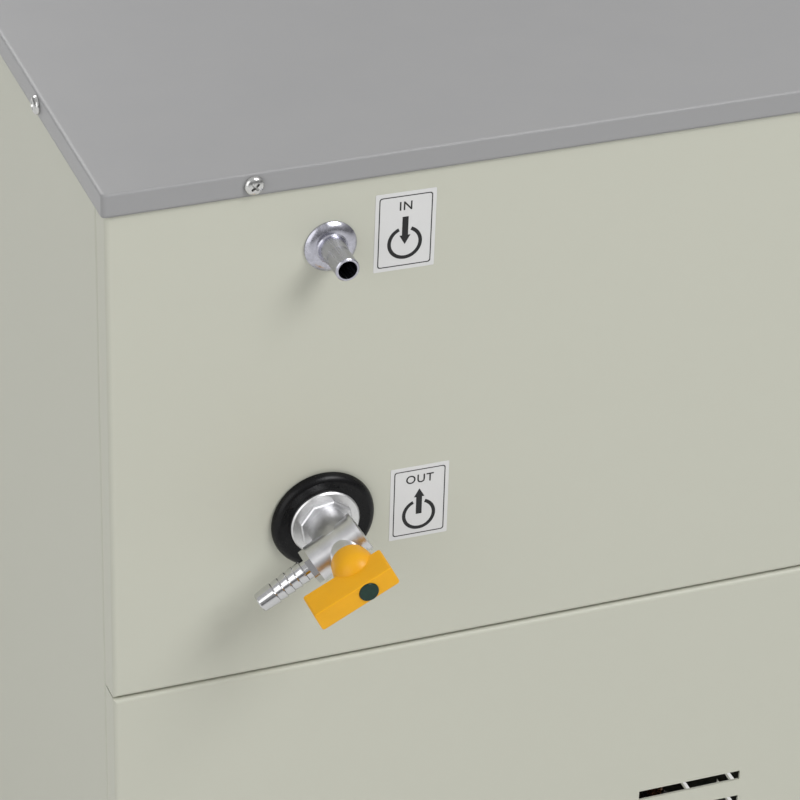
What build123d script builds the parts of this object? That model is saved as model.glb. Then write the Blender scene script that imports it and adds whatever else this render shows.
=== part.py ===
from build123d import *
from math import cos, hypot, pi, radians, sin, sqrt
import os

# Recirculating chiller, a bench cabinet with its two coolant ports on the rear panel.
# Millimetres, +Z up, controls on the -Y side, ports on the +Y side, feet on Z = 0.

# Cabinet
cabinet_width = 380.0
cabinet_depth = 480.0
cabinet_height = 660.0
panel_sheet = 1.2
cover_sheet = 1.2
base_sheet = 1.5
bend_radius = 2.0
panel_return = 12.0
plinth_height = 28.0
shelf_return = 14.0
cover_lip = 9.9
cover_gap = 0.3
panel_gap = 0.8
seam_gap = 1.2
seam_drop = 239.4
foot_height = 22.0
foot_radius = 16.0
foot_inset = 42.0

# Ports, as seen on the rear panel
inlet_x = 97.5
inlet_drop = 38.4
inlet_flange_radius = 11.0
inlet_flange_height = 2.6
inlet_tube_radius = 5.0
inlet_bore_radius = 3.95
inlet_root_radius = 6.1
inlet_taper = 7.0
inlet_reach = 21.0
inlet_thread_radius = 7.0
inlet_thread_length = 10.0
inlet_nut_across = 19.0
inlet_nut_height = 5.0
port_clearance = 0.2
outlet_x = 99.2
outlet_drop = 166.9

# Outlet bush, washer and valve
grommet_radius = 22.5
grommet_height = 3.8
grommet_crest = 0.5
grommet_lip = 2.8
grommet_neck_radius = 17.0
grommet_back_radius = 20.0
grommet_back = 6.0
washer_radius = 15.0
washer_height = 1.4
octagon_across = 22.0
octagon_height = 2.2
shank_radius = 8.2
shank_length = 18.0
shank_nut_across = 24.0
shank_nut_height = 6.0
nipple_radius = 6.0
nipple_length = 14.0
valve_bore_radius = 4.5
neck_radius = 8.5
barrel_axis_height = 22.2
barrel_radius = 8.25
barrel_tail = 10.5
barrel_nose = 12.8
barrel_rim = 0.7
barrel_wall = 1.7
bonnet_radius = 6.6
bonnet_top = 33.2
ball_radius = 5.9
ball_bore_radius = 3.2
ball_side_bore_radius = 3.0
ball_clearance = 0.25
seat_clearance = 0.1
seat_length = 3.2
seat_setback = 5.0
stem_radius = 4.0
stem_clearance = 0.1
stem_square = 5.0
stem_blade = 2.2
stem_blade_depth = 2.0
tube_angle = 31.7
collar_across = 13.6
collar_length = 2.7
ferrule_radius = 4.4
ferrule_length = 2.1
barb_root_radius = 4.25
barb_crest_radius = 4.75
barb_bore_radius = 2.8
barb_pitch = 3.65
barb_count = 4
barb_lead = 0.5
barb_tip = 8.4
barb_round = 0.5

# Lever on the valve
lever_angle = 27.0
lever_long_arm = 23.9
lever_short_arm = 12.8
lever_thickness = 9.2
lever_back = 43.6
lever_face = 57.5
lever_hub_radius = 7.9
lever_skirt = 34.0
lever_skirt_height = 4.5
lever_crown = 5.5
socket_clearance = 0.1
cap_radius = 4.2
cap_dome = 0.6
cap_depth = 1.6
lever_screw_radius = 1.5
lever_screw_head = 2.9

# Bath
tank_width = 212.0
tank_depth = 172.0
tank_height = 170.0
tank_sheet = 1.0
tank_corner = 22.0
tank_rim = 9.0
tank_setback = 10.0
insulation_side = 42.0
insulation_floor = 40.0
insulation_gap = 0.5
lid_radius = 66.0
lid_sheet = 1.5
lid_hole_radius = 60.0
lid_skirt_gap = 1.0
lid_skirt = 8.0
lid_rise = 3.5
knob_radius = 15.0
knob_height = 24.0
knob_stud_radius = 2.5
coil_radius = 64.0
coil_tube_radius = 4.8
coil_pitch = 15.0
coil_turns = 4
coil_floor_gap = 16.0
coil_tail = 150.0

# Coolant pump below the bath
pump_back = 46.0
pump_drop = 60.0
pump_radius = 34.0
pump_height = 24.0
pump_wall = 3.0
pump_flange_radius = 46.0
pump_flange_height = 4.0
pump_motor_radius = 34.0
pump_motor_height = 68.0
spout_radius = 6.0
spout_bore_radius = 4.5
spout_length = 15.0
impeller_radius = 24.0
impeller_height = 10.0
impeller_vanes = 6
impeller_gap = 3.0
pump_shaft_radius = 3.0
shaft_clearance = 0.08
spacer_radius = 3.5
spacer_circle = 40.0
spacer_turn = 200.0
hose_wall = 3.0
hose_fit = 0.05
hose_bend = 22.0
hose_setback = 60.0
hose_hole_clearance = 2.0

# Refrigeration deck
compressor_x = -92.0
compressor_y = 118.0
compressor_radius = 62.0
compressor_height = 160.0
mount_height = 14.0
mount_radius = 9.0
mount_span = 96.0
condenser_width = 270.0
condenser_height = 244.0
condenser_depth = 38.0
condenser_setback = 30.0
fin_count = 16
fin_sheet = 0.8
condenser_passes = 5
condenser_tube_radius = 5.0
fan_radius = 94.0
fan_gap = 3.0
fan_plate = 1.5
fan_ring_depth = 26.0
fan_blades = 5
fan_hub_radius = 30.0
fan_motor_radius = 32.0
fan_motor_depth = 44.0
fan_shaft_radius = 4.0
fan_hub_depth = 16.0
fan_blade_pitch = 24.0
fan_blade_sheet = 1.6
line_radius = 4.0
line_wall = 0.8
line_bend = 9.0
line_joint = 0.3
drier_radius = 13.0
drier_length = 80.0
drier_back_set = 70.0
drier_drop = 90.0
line_reach = 22.0

# Controls on the front panel
controls_drop = 96.0
bezel_side = 132.0
bezel_width = 150.0
bezel_height = 84.0
bezel_depth = 4.0
bezel_wall = 3.0
window_width = 104.0
window_height = 32.0
window_sheet = 2.0
window_recess = 0.3
tact_height = 3.5
key_width = 20.0
key_height = 11.0
key_proud = 1.6
key_travel = 1.2
key_pitch = 34.0
key_gap = 0.3
board_gap = 12.0
board_sheet = 1.6
switch_side = 116.0
switch_pitch = 36.0
switch_width = 20.0
switch_height = 31.0
switch_wall = 1.4
switch_flange = 2.0
switch_depth = 16.0
rocker_half = 12.2
rocker_crest = 5.2
rocker_pivot = -1.0
rocker_tilt = 9.0
rocker_pin_radius = 1.2
rocker_gap = 0.3

# Vents, power inlet and screws
vent_length = 50.0
vent_height = 5.0
vent_pitch = 14.0
side_vent_rise = 110.0
power_inlet_x = -110.0
power_inlet_rise = 60.0
power_inlet_width = 30.0
power_inlet_height = 22.0
power_inlet_depth = 18.0
screw_head_radius = 4.25
screw_head_height = 2.4
screw_radius = 2.0
screw_length = 8.0
lip_screw_x = 130.0
lip_screw_rise = 4.7
side_screw_y = 150.0

os.makedirs("parts", exist_ok=True)

# Places worked out from the sizes above
tilt = radians(rocker_tilt)
front_reach = rocker_pivot + rocker_half * sin(tilt) + rocker_crest * cos(tilt)
rear_reach = lever_face + cap_dome
body_y = (front_reach - rear_reach) / 2
rear_y = body_y + cabinet_depth / 2
front_y = body_y - cabinet_depth / 2
side_x = cabinet_width / 2
cover_under = cabinet_height - cover_sheet
panel_top = cover_under - cover_gap
seam_z = cabinet_height - seam_drop
plinth_top = foot_height + plinth_height
panel_foot = plinth_top + cover_gap
inlet_z = cabinet_height - inlet_drop
outlet_z = cabinet_height - outlet_drop
tank_y = body_y - tank_setback
tank_floor = cover_under - tank_height
shelf_top = tank_floor - insulation_floor
deck_z = foot_height + base_sheet
octagon_foot = grommet_height + washer_height
octagon_face = octagon_foot + octagon_height
barrel_bore_radius = barrel_radius - barrel_wall
tube_run = Vector(cos(radians(tube_angle)), 0, -sin(radians(tube_angle)))
lever_run = Vector(cos(radians(lever_angle)), 0, -sin(radians(lever_angle)))
ball_centre = Vector(outlet_x, rear_y + barrel_axis_height, outlet_z)
barb_start = barrel_nose + collar_length + ferrule_length
controls_z = cabinet_height - controls_drop
bezel_x = bezel_side - side_x
pump_top = shelf_top - pump_drop
pump_x = outlet_x - pump_radius + spout_radius + pump_wall
pump_y = body_y + pump_back
pump_spout_z = pump_top - pump_height / 2
hose_y = rear_y - hose_setback
hose_outer = spout_radius + hose_fit + hose_wall
line_drop_y = tank_y - coil_tail - 18.0
coil_low = tank_floor + coil_floor_gap
coil_high = coil_low + coil_pitch * (coil_turns + 0.5)
turn_length = hypot(coil_pitch, 2 * pi * coil_radius)
tail_drop = coil_tail * coil_pitch / turn_length
drier_y = body_y - drier_back_set
tail_run = coil_tail * 2 * pi * coil_radius / turn_length
wall_drop = tank_depth / 2 * coil_pitch / (2 * pi * coil_radius)


def rear_wall(x, z, out=0.0):
    """A plane on the rear panel: x to the right and y up as seen from behind, z outwards."""
    return Plane(origin=(x, rear_y + out, z), x_dir=(-1, 0, 0), z_dir=(0, 1, 0))


def front_wall(x, z, out=0.0):
    """A plane on the front panel: x to the right and y up as seen from the front, z outwards."""
    return Plane(origin=(x, front_y - out, z), x_dir=(1, 0, 0), z_dir=(0, -1, 0))


def side_wall(side, y, z):
    """A plane on a side panel, z outwards; side is 1 for the right and -1 for the left."""
    return Plane(origin=(side * side_x, y, z), x_dir=(0, side, 0), z_dir=(side, 0, 0))


def port_section(x, z):
    """A section plane through a port: local x is the radius, local y the height off the panel."""
    return Plane(origin=(x, rear_y, z), x_dir=(-1, 0, 0), z_dir=(0, 0, -1))


def port_line(x, z):
    return Axis((x, rear_y, z), (0, 1, 0))


def barrel_plane(along=0.0):
    """A plane square to the valve's barrel, z along the hose tail."""
    return Plane(origin=ball_centre + tube_run * along, x_dir=(0, 1, 0), z_dir=tube_run)


def lever_plane(out):
    """A plane parallel to the rear panel on the outlet's axis, x along the lever's long arm."""
    return Plane(origin=(outlet_x, rear_y + out, outlet_z), x_dir=lever_run, z_dir=(0, 1, 0))


def upright(x, y, z=0.0):
    return Plane(origin=(x, y, z), x_dir=(1, 0, 0), z_dir=(0, 0, 1))


def upright_section(x, y):
    """A section plane through a vertical axis: local x is the radius, local y is Z."""
    return Plane(origin=(x, y, 0), x_dir=(1, 0, 0), z_dir=(0, -1, 0))


def facing(x, y, z):
    """A plane facing the front, x to the right and y up."""
    return Plane(origin=(x, y, z), x_dir=(1, 0, 0), z_dir=(0, -1, 0))


def outline(plane, points):
    """A closed outline of points on the plane given."""
    with BuildSketch(plane) as shape:
        with BuildLine():
            Polyline(*points, close=True)
        make_face()
    return shape.sketch


def folded_panel(plane, panel_width, panel_height):
    """A sheet panel with its four edges folded back, its outer face on the plane."""
    inward = Axis(plane.origin, -plane.z_dir)
    with BuildPart() as blank:
        with BuildSketch(plane):
            Rectangle(panel_width, panel_height)
        extrude(amount=-panel_return)
        fillet(blank.faces().sort_by(inward)[0].edges(), bend_radius)
        offset(amount=-panel_sheet, openings=blank.faces().sort_by(inward)[-1])
    return blank.part


def tube(route, bends, outer, inner, first):
    """A hose or pipe along straight runs joined by arcs; first is its starting direction."""
    with BuildPart() as piece:
        with BuildLine() as path:
            FilletPolyline(*route, radius=bends)
        with BuildSketch(Plane(origin=route[0], z_dir=first)):
            Circle(outer)
            if inner:
                Circle(inner, mode=Mode.SUBTRACT)
        sweep(path=path.line)
    return piece.part


def pan_screws(seats):
    """Pan-head screws with their heads on the seats, the shanks going inwards."""
    with BuildPart() as group:
        for seat in seats:
            section = Plane(origin=seat.origin, x_dir=seat.x_dir, z_dir=-seat.y_dir)
            with BuildSketch(section) as half:
                with BuildLine():
                    axis = Line((0, -screw_length), (0, screw_head_height))
                    dome = ThreePointArc(axis @ 1, (0.72 * screw_head_radius, 0.74 * screw_head_height),
                                         (screw_head_radius, 0.2 * screw_head_height))
                    Polyline(dome @ 1, (screw_head_radius, 0), (screw_radius, 0),
                             (screw_radius, -screw_length), axis @ 0)
                make_face()
            revolve(half.sketch, axis=Axis(seat.origin, seat.z_dir))
    return group.part


def screw_holes(seats, depth):
    """Clearance holes for screws, as cutters."""
    with BuildPart() as cutters:
        for seat in seats:
            with BuildSketch(seat) as mark:
                Circle(screw_radius + port_clearance)
            extrude(mark.sketch, amount=depth, both=True)
    return cutters.part


def save(piece, name):
    piece.part.label = name
    export_step(piece.part, f"parts/{name}.step")


# Seats of the screws, with the outer face that carries the head as z = 0
lip_reach = cover_gap + cover_sheet
lip_screw_z = cabinet_height - cover_lip + lip_screw_rise
rear_lip_seats = [rear_wall(x, lip_screw_z, lip_reach) for x in (-lip_screw_x, lip_screw_x)]
front_lip_seats = [front_wall(x, lip_screw_z, lip_reach) for x in (-lip_screw_x, lip_screw_x)]
side_lip_seats = {
    side: [side_wall(side, body_y + y, lip_screw_z).offset(lip_reach) for y in (-side_screw_y, side_screw_y)]
    for side in (1, -1)
}
lip_seats = rear_lip_seats + front_lip_seats + side_lip_seats[1] + side_lip_seats[-1]
hole_depth = lip_reach + panel_sheet + cover_gap

# Base pan, a tray whose walls show as the plinth
with BuildPart() as base_pan:
    with BuildSketch(upright(0, body_y, foot_height)):
        Rectangle(cabinet_width, cabinet_depth)
    extrude(amount=plinth_height)
    fillet(base_pan.edges().filter_by(Axis.Z), bend_radius)
    fillet(base_pan.faces().sort_by(Axis.Z)[0].edges(), bend_radius)
    offset(amount=-base_sheet, openings=base_pan.faces().sort_by(Axis.Z)[-1])
save(base_pan, "base_pan")

# Rubber feet, one group of four like pieces
with BuildPart() as rubber_feet:
    with BuildSketch(upright(0, body_y, foot_height)):
        with GridLocations(cabinet_width - 2 * foot_inset, cabinet_depth - 2 * foot_inset, 2, 2):
            Circle(foot_radius)
    extrude(amount=-foot_height, taper=5)
    fillet(rubber_feet.edges().group_by(Axis.Z)[0], 1.5)
save(rubber_feet, "rubber_feet")

# Rear upper panel with the two port holes
upper_height = panel_top - seam_z - seam_gap / 2
upper_middle = panel_top - upper_height / 2
with BuildPart() as rear_upper_panel:
    add(folded_panel(rear_wall(0, upper_middle), cabinet_width, upper_height))
    with BuildSketch(rear_wall(inlet_x, inlet_z)):
        Circle(inlet_thread_radius + port_clearance)
    extrude(amount=-2 * panel_sheet, mode=Mode.SUBTRACT)
    with BuildSketch(rear_wall(outlet_x, outlet_z)):
        Circle(grommet_neck_radius + port_clearance)
    extrude(amount=-2 * panel_sheet, mode=Mode.SUBTRACT)
    add(screw_holes(rear_lip_seats, hole_depth), mode=Mode.SUBTRACT)
save(rear_upper_panel, "rear_upper_panel")

# Rear lower panel with its warm-air vents and the power inlet's cut-out
lower_height = seam_z - seam_gap / 2 - panel_foot
lower_middle = panel_foot + lower_height / 2
power_inlet_z = panel_foot + power_inlet_rise
with BuildPart() as rear_lower_panel:
    add(folded_panel(rear_wall(0, lower_middle), cabinet_width, lower_height))
    with BuildSketch(rear_wall(0, lower_middle + 20)):
        with GridLocations(vent_length * 1.6, vent_pitch, 3, 9):
            Rectangle(vent_length, vent_height)
    extrude(amount=-2 * panel_sheet, mode=Mode.SUBTRACT)
    with BuildSketch(rear_wall(power_inlet_x, power_inlet_z)):
        Rectangle(power_inlet_width, power_inlet_height)
    extrude(amount=-2 * panel_sheet, mode=Mode.SUBTRACT)
save(rear_lower_panel, "rear_lower_panel")

# Front upper panel with the cut-outs for the display and the switches
switch_places = [side_x - switch_side + switch_pitch * step for step in range(3)]
window_z = controls_z + bezel_height / 2 - window_height / 2 - 12.0
key_z = controls_z - bezel_height / 2 + key_height / 2 + 12.0
key_places = [bezel_x + key_pitch * step for step in (-1, 0, 1)]
with BuildPart() as front_upper_panel:
    add(folded_panel(front_wall(0, upper_middle), cabinet_width, upper_height))
    with BuildSketch(front_wall(bezel_x, controls_z)):
        Rectangle(bezel_width - 4 * bezel_wall, bezel_height - 4 * bezel_wall)
    extrude(amount=-2 * panel_sheet, mode=Mode.SUBTRACT)
    for x in switch_places:
        with BuildSketch(front_wall(x, controls_z)):
            Rectangle(switch_width, switch_height)
        extrude(amount=-2 * panel_sheet, mode=Mode.SUBTRACT)
    add(screw_holes(front_lip_seats, hole_depth), mode=Mode.SUBTRACT)
save(front_upper_panel, "front_upper_panel")

# Front lower panel with the cool-air vents ahead of the condenser
with BuildPart() as front_lower_panel:
    add(folded_panel(front_wall(0, lower_middle), cabinet_width, lower_height))
    with BuildSketch(front_wall(0, lower_middle)):
        with GridLocations(vent_length * 1.6, vent_pitch, 3, 18):
            Rectangle(vent_length, vent_height)
    extrude(amount=-2 * panel_sheet, mode=Mode.SUBTRACT)
save(front_lower_panel, "front_lower_panel")

# Side panels, between the returns of the front and the rear
side_height = panel_top - panel_foot
side_middle = panel_foot + side_height / 2
side_length = cabinet_depth - 2 * (panel_return + panel_gap)
for side, name in ((1, "right_side_panel"), (-1, "left_side_panel")):
    with BuildPart() as side_panel:
        add(folded_panel(side_wall(side, body_y, side_middle), side_length, side_height))
        with BuildSketch(side_wall(side, body_y, panel_foot + side_vent_rise)):
            with GridLocations(vent_length * 1.6, vent_pitch, 3, 6):
                Rectangle(vent_length, vent_height)
        extrude(amount=-2 * panel_sheet, mode=Mode.SUBTRACT)
        add(screw_holes(side_lip_seats[side], hole_depth), mode=Mode.SUBTRACT)
    save(side_panel, name)

# Shelf that carries the bath above the refrigeration deck
shelf_width = cabinet_width - 2 * panel_sheet - 2 * cover_gap
shelf_depth = side_length - 2 * panel_sheet - 2 * cover_gap
with BuildPart() as bath_shelf:
    with BuildSketch(upright(0, body_y, shelf_top)):
        Rectangle(shelf_width, shelf_depth)
    extrude(amount=-shelf_return)
    fillet(bath_shelf.faces().sort_by(Axis.Z)[-1].edges(), bend_radius)
    offset(amount=-panel_sheet, openings=bath_shelf.faces().sort_by(Axis.Z)[0])
    with BuildSketch(upright(0, 0, shelf_top)):
        with Locations((pump_x, pump_y), (outlet_x, hose_y)):
            Circle(hose_outer + hose_hole_clearance)
        with Locations((coil_radius, line_drop_y), (-coil_radius, line_drop_y)):
            Circle(line_radius + hose_hole_clearance)
    extrude(amount=-2 * panel_sheet, mode=Mode.SUBTRACT)
save(bath_shelf, "bath_shelf")

# Top cover, a shallow tray turned over, with the filling hole
cover_width = cabinet_width + 2 * (cover_gap + cover_sheet)
cover_depth = cabinet_depth + 2 * (cover_gap + cover_sheet)
lid_y = tank_y
with BuildPart() as top_cover:
    with BuildSketch(upright(0, body_y, cabinet_height)):
        Rectangle(cover_width, cover_depth)
    extrude(amount=-cover_lip)
    fillet(top_cover.edges().filter_by(Axis.Z), bend_radius)
    fillet(top_cover.faces().sort_by(Axis.Z)[-1].edges(), bend_radius / 2)
    offset(amount=-cover_sheet, openings=top_cover.faces().sort_by(Axis.Z)[0])
    with BuildSketch(upright(0, lid_y, cabinet_height)):
        Circle(lid_hole_radius)
    extrude(amount=-2 * cover_sheet, mode=Mode.SUBTRACT)
    add(screw_holes(lip_seats, hole_depth), mode=Mode.SUBTRACT)
save(top_cover, "top_cover")

# Bath lid, a spun disc with a skirt that drops into the hole, and its knob
skirt_radius = lid_hole_radius - lid_skirt_gap
lid_top = cabinet_height + lid_rise + lid_sheet
with BuildPart() as bath_lid:
    add(outline(upright_section(0, lid_y), [
        (knob_stud_radius + 0.2, lid_top),
        (skirt_radius - 10, lid_top),
        (skirt_radius - 4, cabinet_height + lid_sheet),
        (lid_radius, cabinet_height + lid_sheet),
        (lid_radius, cabinet_height),
        (skirt_radius, cabinet_height),
        (skirt_radius, cabinet_height - lid_skirt),
        (skirt_radius - lid_sheet, cabinet_height - lid_skirt),
        (skirt_radius - lid_sheet, cabinet_height),
        (skirt_radius - 5, cabinet_height),
        (skirt_radius - 11, lid_top - lid_sheet),
        (knob_stud_radius + 0.2, lid_top - lid_sheet),
    ]))
    revolve(axis=Axis((0, lid_y, 0), (0, 0, 1)))
save(bath_lid, "bath_lid")

with BuildPart() as lid_knob:
    with BuildSketch(upright_section(0, lid_y)):
        with BuildLine():
            foot = Line((0, lid_top), (9, lid_top))
            waist = ThreePointArc(foot @ 1, (6.5, lid_top + 7), (10, lid_top + 13))
            flare = Line(waist @ 1, (knob_radius, lid_top + 17))
            rim = Line(flare @ 1, (knob_radius, lid_top + 20))
            crown = ThreePointArc(rim @ 1, (0.66 * knob_radius, lid_top + knob_height - 0.9),
                                  (0.3 * knob_radius, lid_top + knob_height))
            Polyline(crown @ 1, (0, lid_top + knob_height), foot @ 0)
        make_face()
    revolve(axis=Axis((0, lid_y, 0), (0, 0, 1)))
    with BuildSketch(upright(0, lid_y, lid_top)):
        Circle(knob_stud_radius)
    extrude(amount=-(lid_sheet + 5))
save(lid_knob, "lid_knob")

# Pan-head screws of the cover, one group of like fasteners
with BuildPart() as cover_screws:
    add(pan_screws(lip_seats))
save(cover_screws, "cover_screws")

# Return port: a turned nozzle through the panel, its nut behind, and the tube into the bath
nozzle_back = inlet_thread_length + 14.0
with BuildPart() as inlet_nozzle:
    with BuildSketch(port_section(inlet_x, inlet_z)):
        with BuildLine():
            rim = Line((inlet_flange_radius, 0), (inlet_flange_radius, 0.8))
            dome = ThreePointArc(rim @ 1, (8.9, 2.2), (inlet_root_radius + 0.5, inlet_flange_height))
            Polyline(dome @ 1, (inlet_root_radius, inlet_flange_height + 0.6),
                     (inlet_tube_radius, inlet_flange_height + 0.6 + inlet_taper),
                     (inlet_tube_radius, inlet_reach - 0.4), (inlet_tube_radius - 0.4, inlet_reach),
                     (inlet_bore_radius, inlet_reach), (inlet_bore_radius, -nozzle_back),
                     (inlet_tube_radius, -nozzle_back), (inlet_tube_radius, -inlet_thread_length),
                     (inlet_thread_radius, -inlet_thread_length), (inlet_thread_radius, 0), rim @ 0)
        make_face()
    revolve(axis=port_line(inlet_x, inlet_z))
save(inlet_nozzle, "inlet_nozzle")

with BuildPart() as inlet_nut:
    with BuildSketch(rear_wall(inlet_x, inlet_z, -panel_sheet)):
        RegularPolygon(inlet_nut_across / 2, 6, major_radius=False)
        Circle(inlet_thread_radius + hose_fit, mode=Mode.SUBTRACT)
    extrude(amount=-inlet_nut_height)
save(inlet_nut, "inlet_nut")

tank_back = tank_y + tank_depth / 2
with BuildPart() as return_tube:
    with BuildSketch(rear_wall(inlet_x, inlet_z, -inlet_thread_length - 1)):
        Circle(inlet_tube_radius + hose_fit + hose_wall)
        Circle(inlet_tube_radius + hose_fit, mode=Mode.SUBTRACT)
    extrude(amount=-(rear_y - inlet_thread_length - 1 - tank_back + 8))
save(return_tube, "return_tube")

# Outlet port: rubber bush in the panel, washer, and the angle valve's cast body
with BuildPart() as outlet_grommet:
    with BuildSketch(port_section(outlet_x, outlet_z)):
        with BuildLine():
            crest = (grommet_radius - grommet_lip, grommet_height + grommet_crest)
            front = Polyline((shank_radius + hose_fit, grommet_height),
                             (washer_radius + 1.2, grommet_height), crest)
            lip = ThreePointArc(front @ 1, (grommet_radius - 0.25 * grommet_lip, 0.75 * grommet_height),
                                (grommet_radius, 0.25 * grommet_height))
            Polyline(lip @ 1, (grommet_radius - 0.6, 0), (grommet_neck_radius, 0),
                     (grommet_neck_radius, -panel_sheet), (grommet_back_radius, -panel_sheet),
                     (grommet_back_radius, -grommet_back), (shank_radius + hose_fit, -grommet_back),
                     front @ 0)
        make_face()
    revolve(axis=port_line(outlet_x, outlet_z))
save(outlet_grommet, "outlet_grommet")

with BuildPart() as outlet_washer:
    with BuildSketch(rear_wall(outlet_x, outlet_z, grommet_height)):
        Circle(washer_radius)
        Circle(shank_radius + hose_fit, mode=Mode.SUBTRACT)
    extrude(amount=washer_height)
    chamfer(outlet_washer.edges().filter_by(GeomType.CIRCLE).sort_by(Axis.Y).group_by(Axis.Y)[-1]
            .sort_by(SortBy.RADIUS)[-1], 0.6)
save(outlet_washer, "outlet_washer")

with BuildPart() as valve_body:
    with BuildSketch(rear_wall(outlet_x, outlet_z, octagon_foot)):
        RegularPolygon(octagon_across / 2, 8, major_radius=False, rotation=tube_angle)
    extrude(amount=octagon_height)
    chamfer(valve_body.faces().sort_by(Axis.Y)[-1].edges(), 0.5)
    with BuildSketch(rear_wall(outlet_x, outlet_z, octagon_foot)):
        Circle(shank_radius)
    extrude(amount=-(octagon_foot + shank_length))
    with BuildSketch(rear_wall(outlet_x, outlet_z, -shank_length)):
        Circle(nipple_radius)
    extrude(amount=-nipple_length)
    with BuildSketch(rear_wall(outlet_x, outlet_z, octagon_face)):
        Circle(neck_radius)
    extrude(amount=barrel_axis_height - octagon_face)
    with BuildSketch(barrel_plane(-barrel_tail)):
        Circle(barrel_radius)
    extrude(amount=barrel_tail + barrel_nose)
    with BuildSketch(barrel_plane(-barrel_tail)):
        Circle(barrel_radius + barrel_rim)
    extrude(amount=2 * barrel_rim)
    with BuildSketch(rear_wall(outlet_x, outlet_z, barrel_axis_height)):
        Circle(bonnet_radius)
    extrude(amount=bonnet_top - barrel_axis_height)
    with BuildSketch(rear_wall(outlet_x, outlet_z, -shank_length - nipple_length)):
        Circle(valve_bore_radius)
    extrude(amount=shank_length + nipple_length + barrel_axis_height, mode=Mode.SUBTRACT)
    with BuildSketch(barrel_plane()):
        Circle(barrel_bore_radius)
    extrude(amount=barrel_nose, mode=Mode.SUBTRACT)
    with Locations(ball_centre):
        Sphere(ball_radius + ball_clearance, mode=Mode.SUBTRACT)
    with BuildSketch(rear_wall(outlet_x, outlet_z, barrel_axis_height)):
        Circle(stem_radius + stem_clearance)
    extrude(amount=bonnet_top - barrel_axis_height, mode=Mode.SUBTRACT)
save(valve_body, "valve_body")

with BuildPart() as shank_nut:
    with BuildSketch(rear_wall(outlet_x, outlet_z, -grommet_back)):
        RegularPolygon(shank_nut_across / 2, 6, major_radius=False)
        Circle(shank_radius + hose_fit, mode=Mode.SUBTRACT)
    extrude(amount=-shank_nut_height)
save(shank_nut, "shank_nut")

# Ball with a bore from behind that turns towards the hose tail, its seat, and the stem
bore_mouth = sqrt(ball_radius**2 - ball_bore_radius**2)
with BuildPart() as valve_ball:
    with BuildSketch(port_section(outlet_x, outlet_z)):
        with BuildLine():
            top = barrel_axis_height + ball_radius
            bore_end = barrel_axis_height + ball_side_bore_radius
            wall = Polyline((0, top), (0, bore_end), (ball_bore_radius, bore_end),
                            (ball_bore_radius, barrel_axis_height - bore_mouth))
            ThreePointArc(wall @ 1, (ball_radius, barrel_axis_height), wall @ 0)
        make_face()
    revolve(axis=port_line(outlet_x, outlet_z))
    with BuildSketch(Plane(origin=ball_centre, x_dir=(0, 1, 0), z_dir=lever_run)):
        Circle(ball_side_bore_radius)
    extrude(amount=2 * ball_radius, mode=Mode.SUBTRACT)
    with BuildSketch(lever_plane(barrel_axis_height + ball_radius)):
        Rectangle(3 * ball_radius, stem_blade + 2 * socket_clearance)
    extrude(amount=-stem_blade_depth, mode=Mode.SUBTRACT)
save(valve_ball, "valve_ball")

seat_end = barrel_nose - seat_setback
seat_radius = ball_radius + seat_clearance
seat_outer = barrel_bore_radius - hose_fit
seat_start = seat_end - seat_length
barrel_section = Plane(origin=ball_centre, x_dir=(0, 1, 0), z_dir=Vector(0, 1, 0).cross(tube_run))
with BuildPart() as ball_seat:
    with BuildSketch(barrel_section):
        with BuildLine():
            inner = (ball_side_bore_radius, sqrt(seat_radius**2 - ball_side_bore_radius**2))
            outer = (sqrt(seat_radius**2 - seat_start**2), seat_start)
            mid = ((inner[0] + outer[0]) / 2, sqrt(seat_radius**2 - ((inner[0] + outer[0]) / 2)**2))
            face = ThreePointArc(inner, mid, outer)
            Polyline(face @ 1, (seat_outer, seat_start), (seat_outer, seat_end),
                     (ball_side_bore_radius, seat_end), face @ 0)
        make_face()
    revolve(axis=Axis(ball_centre, tube_run))
save(ball_seat, "ball_seat")

stem_foot = barrel_axis_height + ball_radius + socket_clearance
stem_shoulder = bonnet_top + socket_clearance
socket_top = lever_back + 1.0
with BuildPart() as valve_stem:
    with BuildSketch(lever_plane(stem_foot)):
        Circle(stem_radius)
    extrude(amount=stem_shoulder - stem_foot)
    with BuildSketch(lever_plane(stem_shoulder)):
        Rectangle(stem_square, stem_square)
    extrude(amount=socket_top - socket_clearance - stem_shoulder)
    with BuildSketch(lever_plane(stem_foot)):
        Rectangle(1.6 * stem_radius, stem_blade)
    extrude(amount=-(stem_blade_depth - socket_clearance))
    with BuildSketch(lever_plane(socket_top)):
        Circle(lever_screw_radius + hose_fit)
    extrude(amount=-9, mode=Mode.SUBTRACT)
save(valve_stem, "valve_stem")

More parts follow.
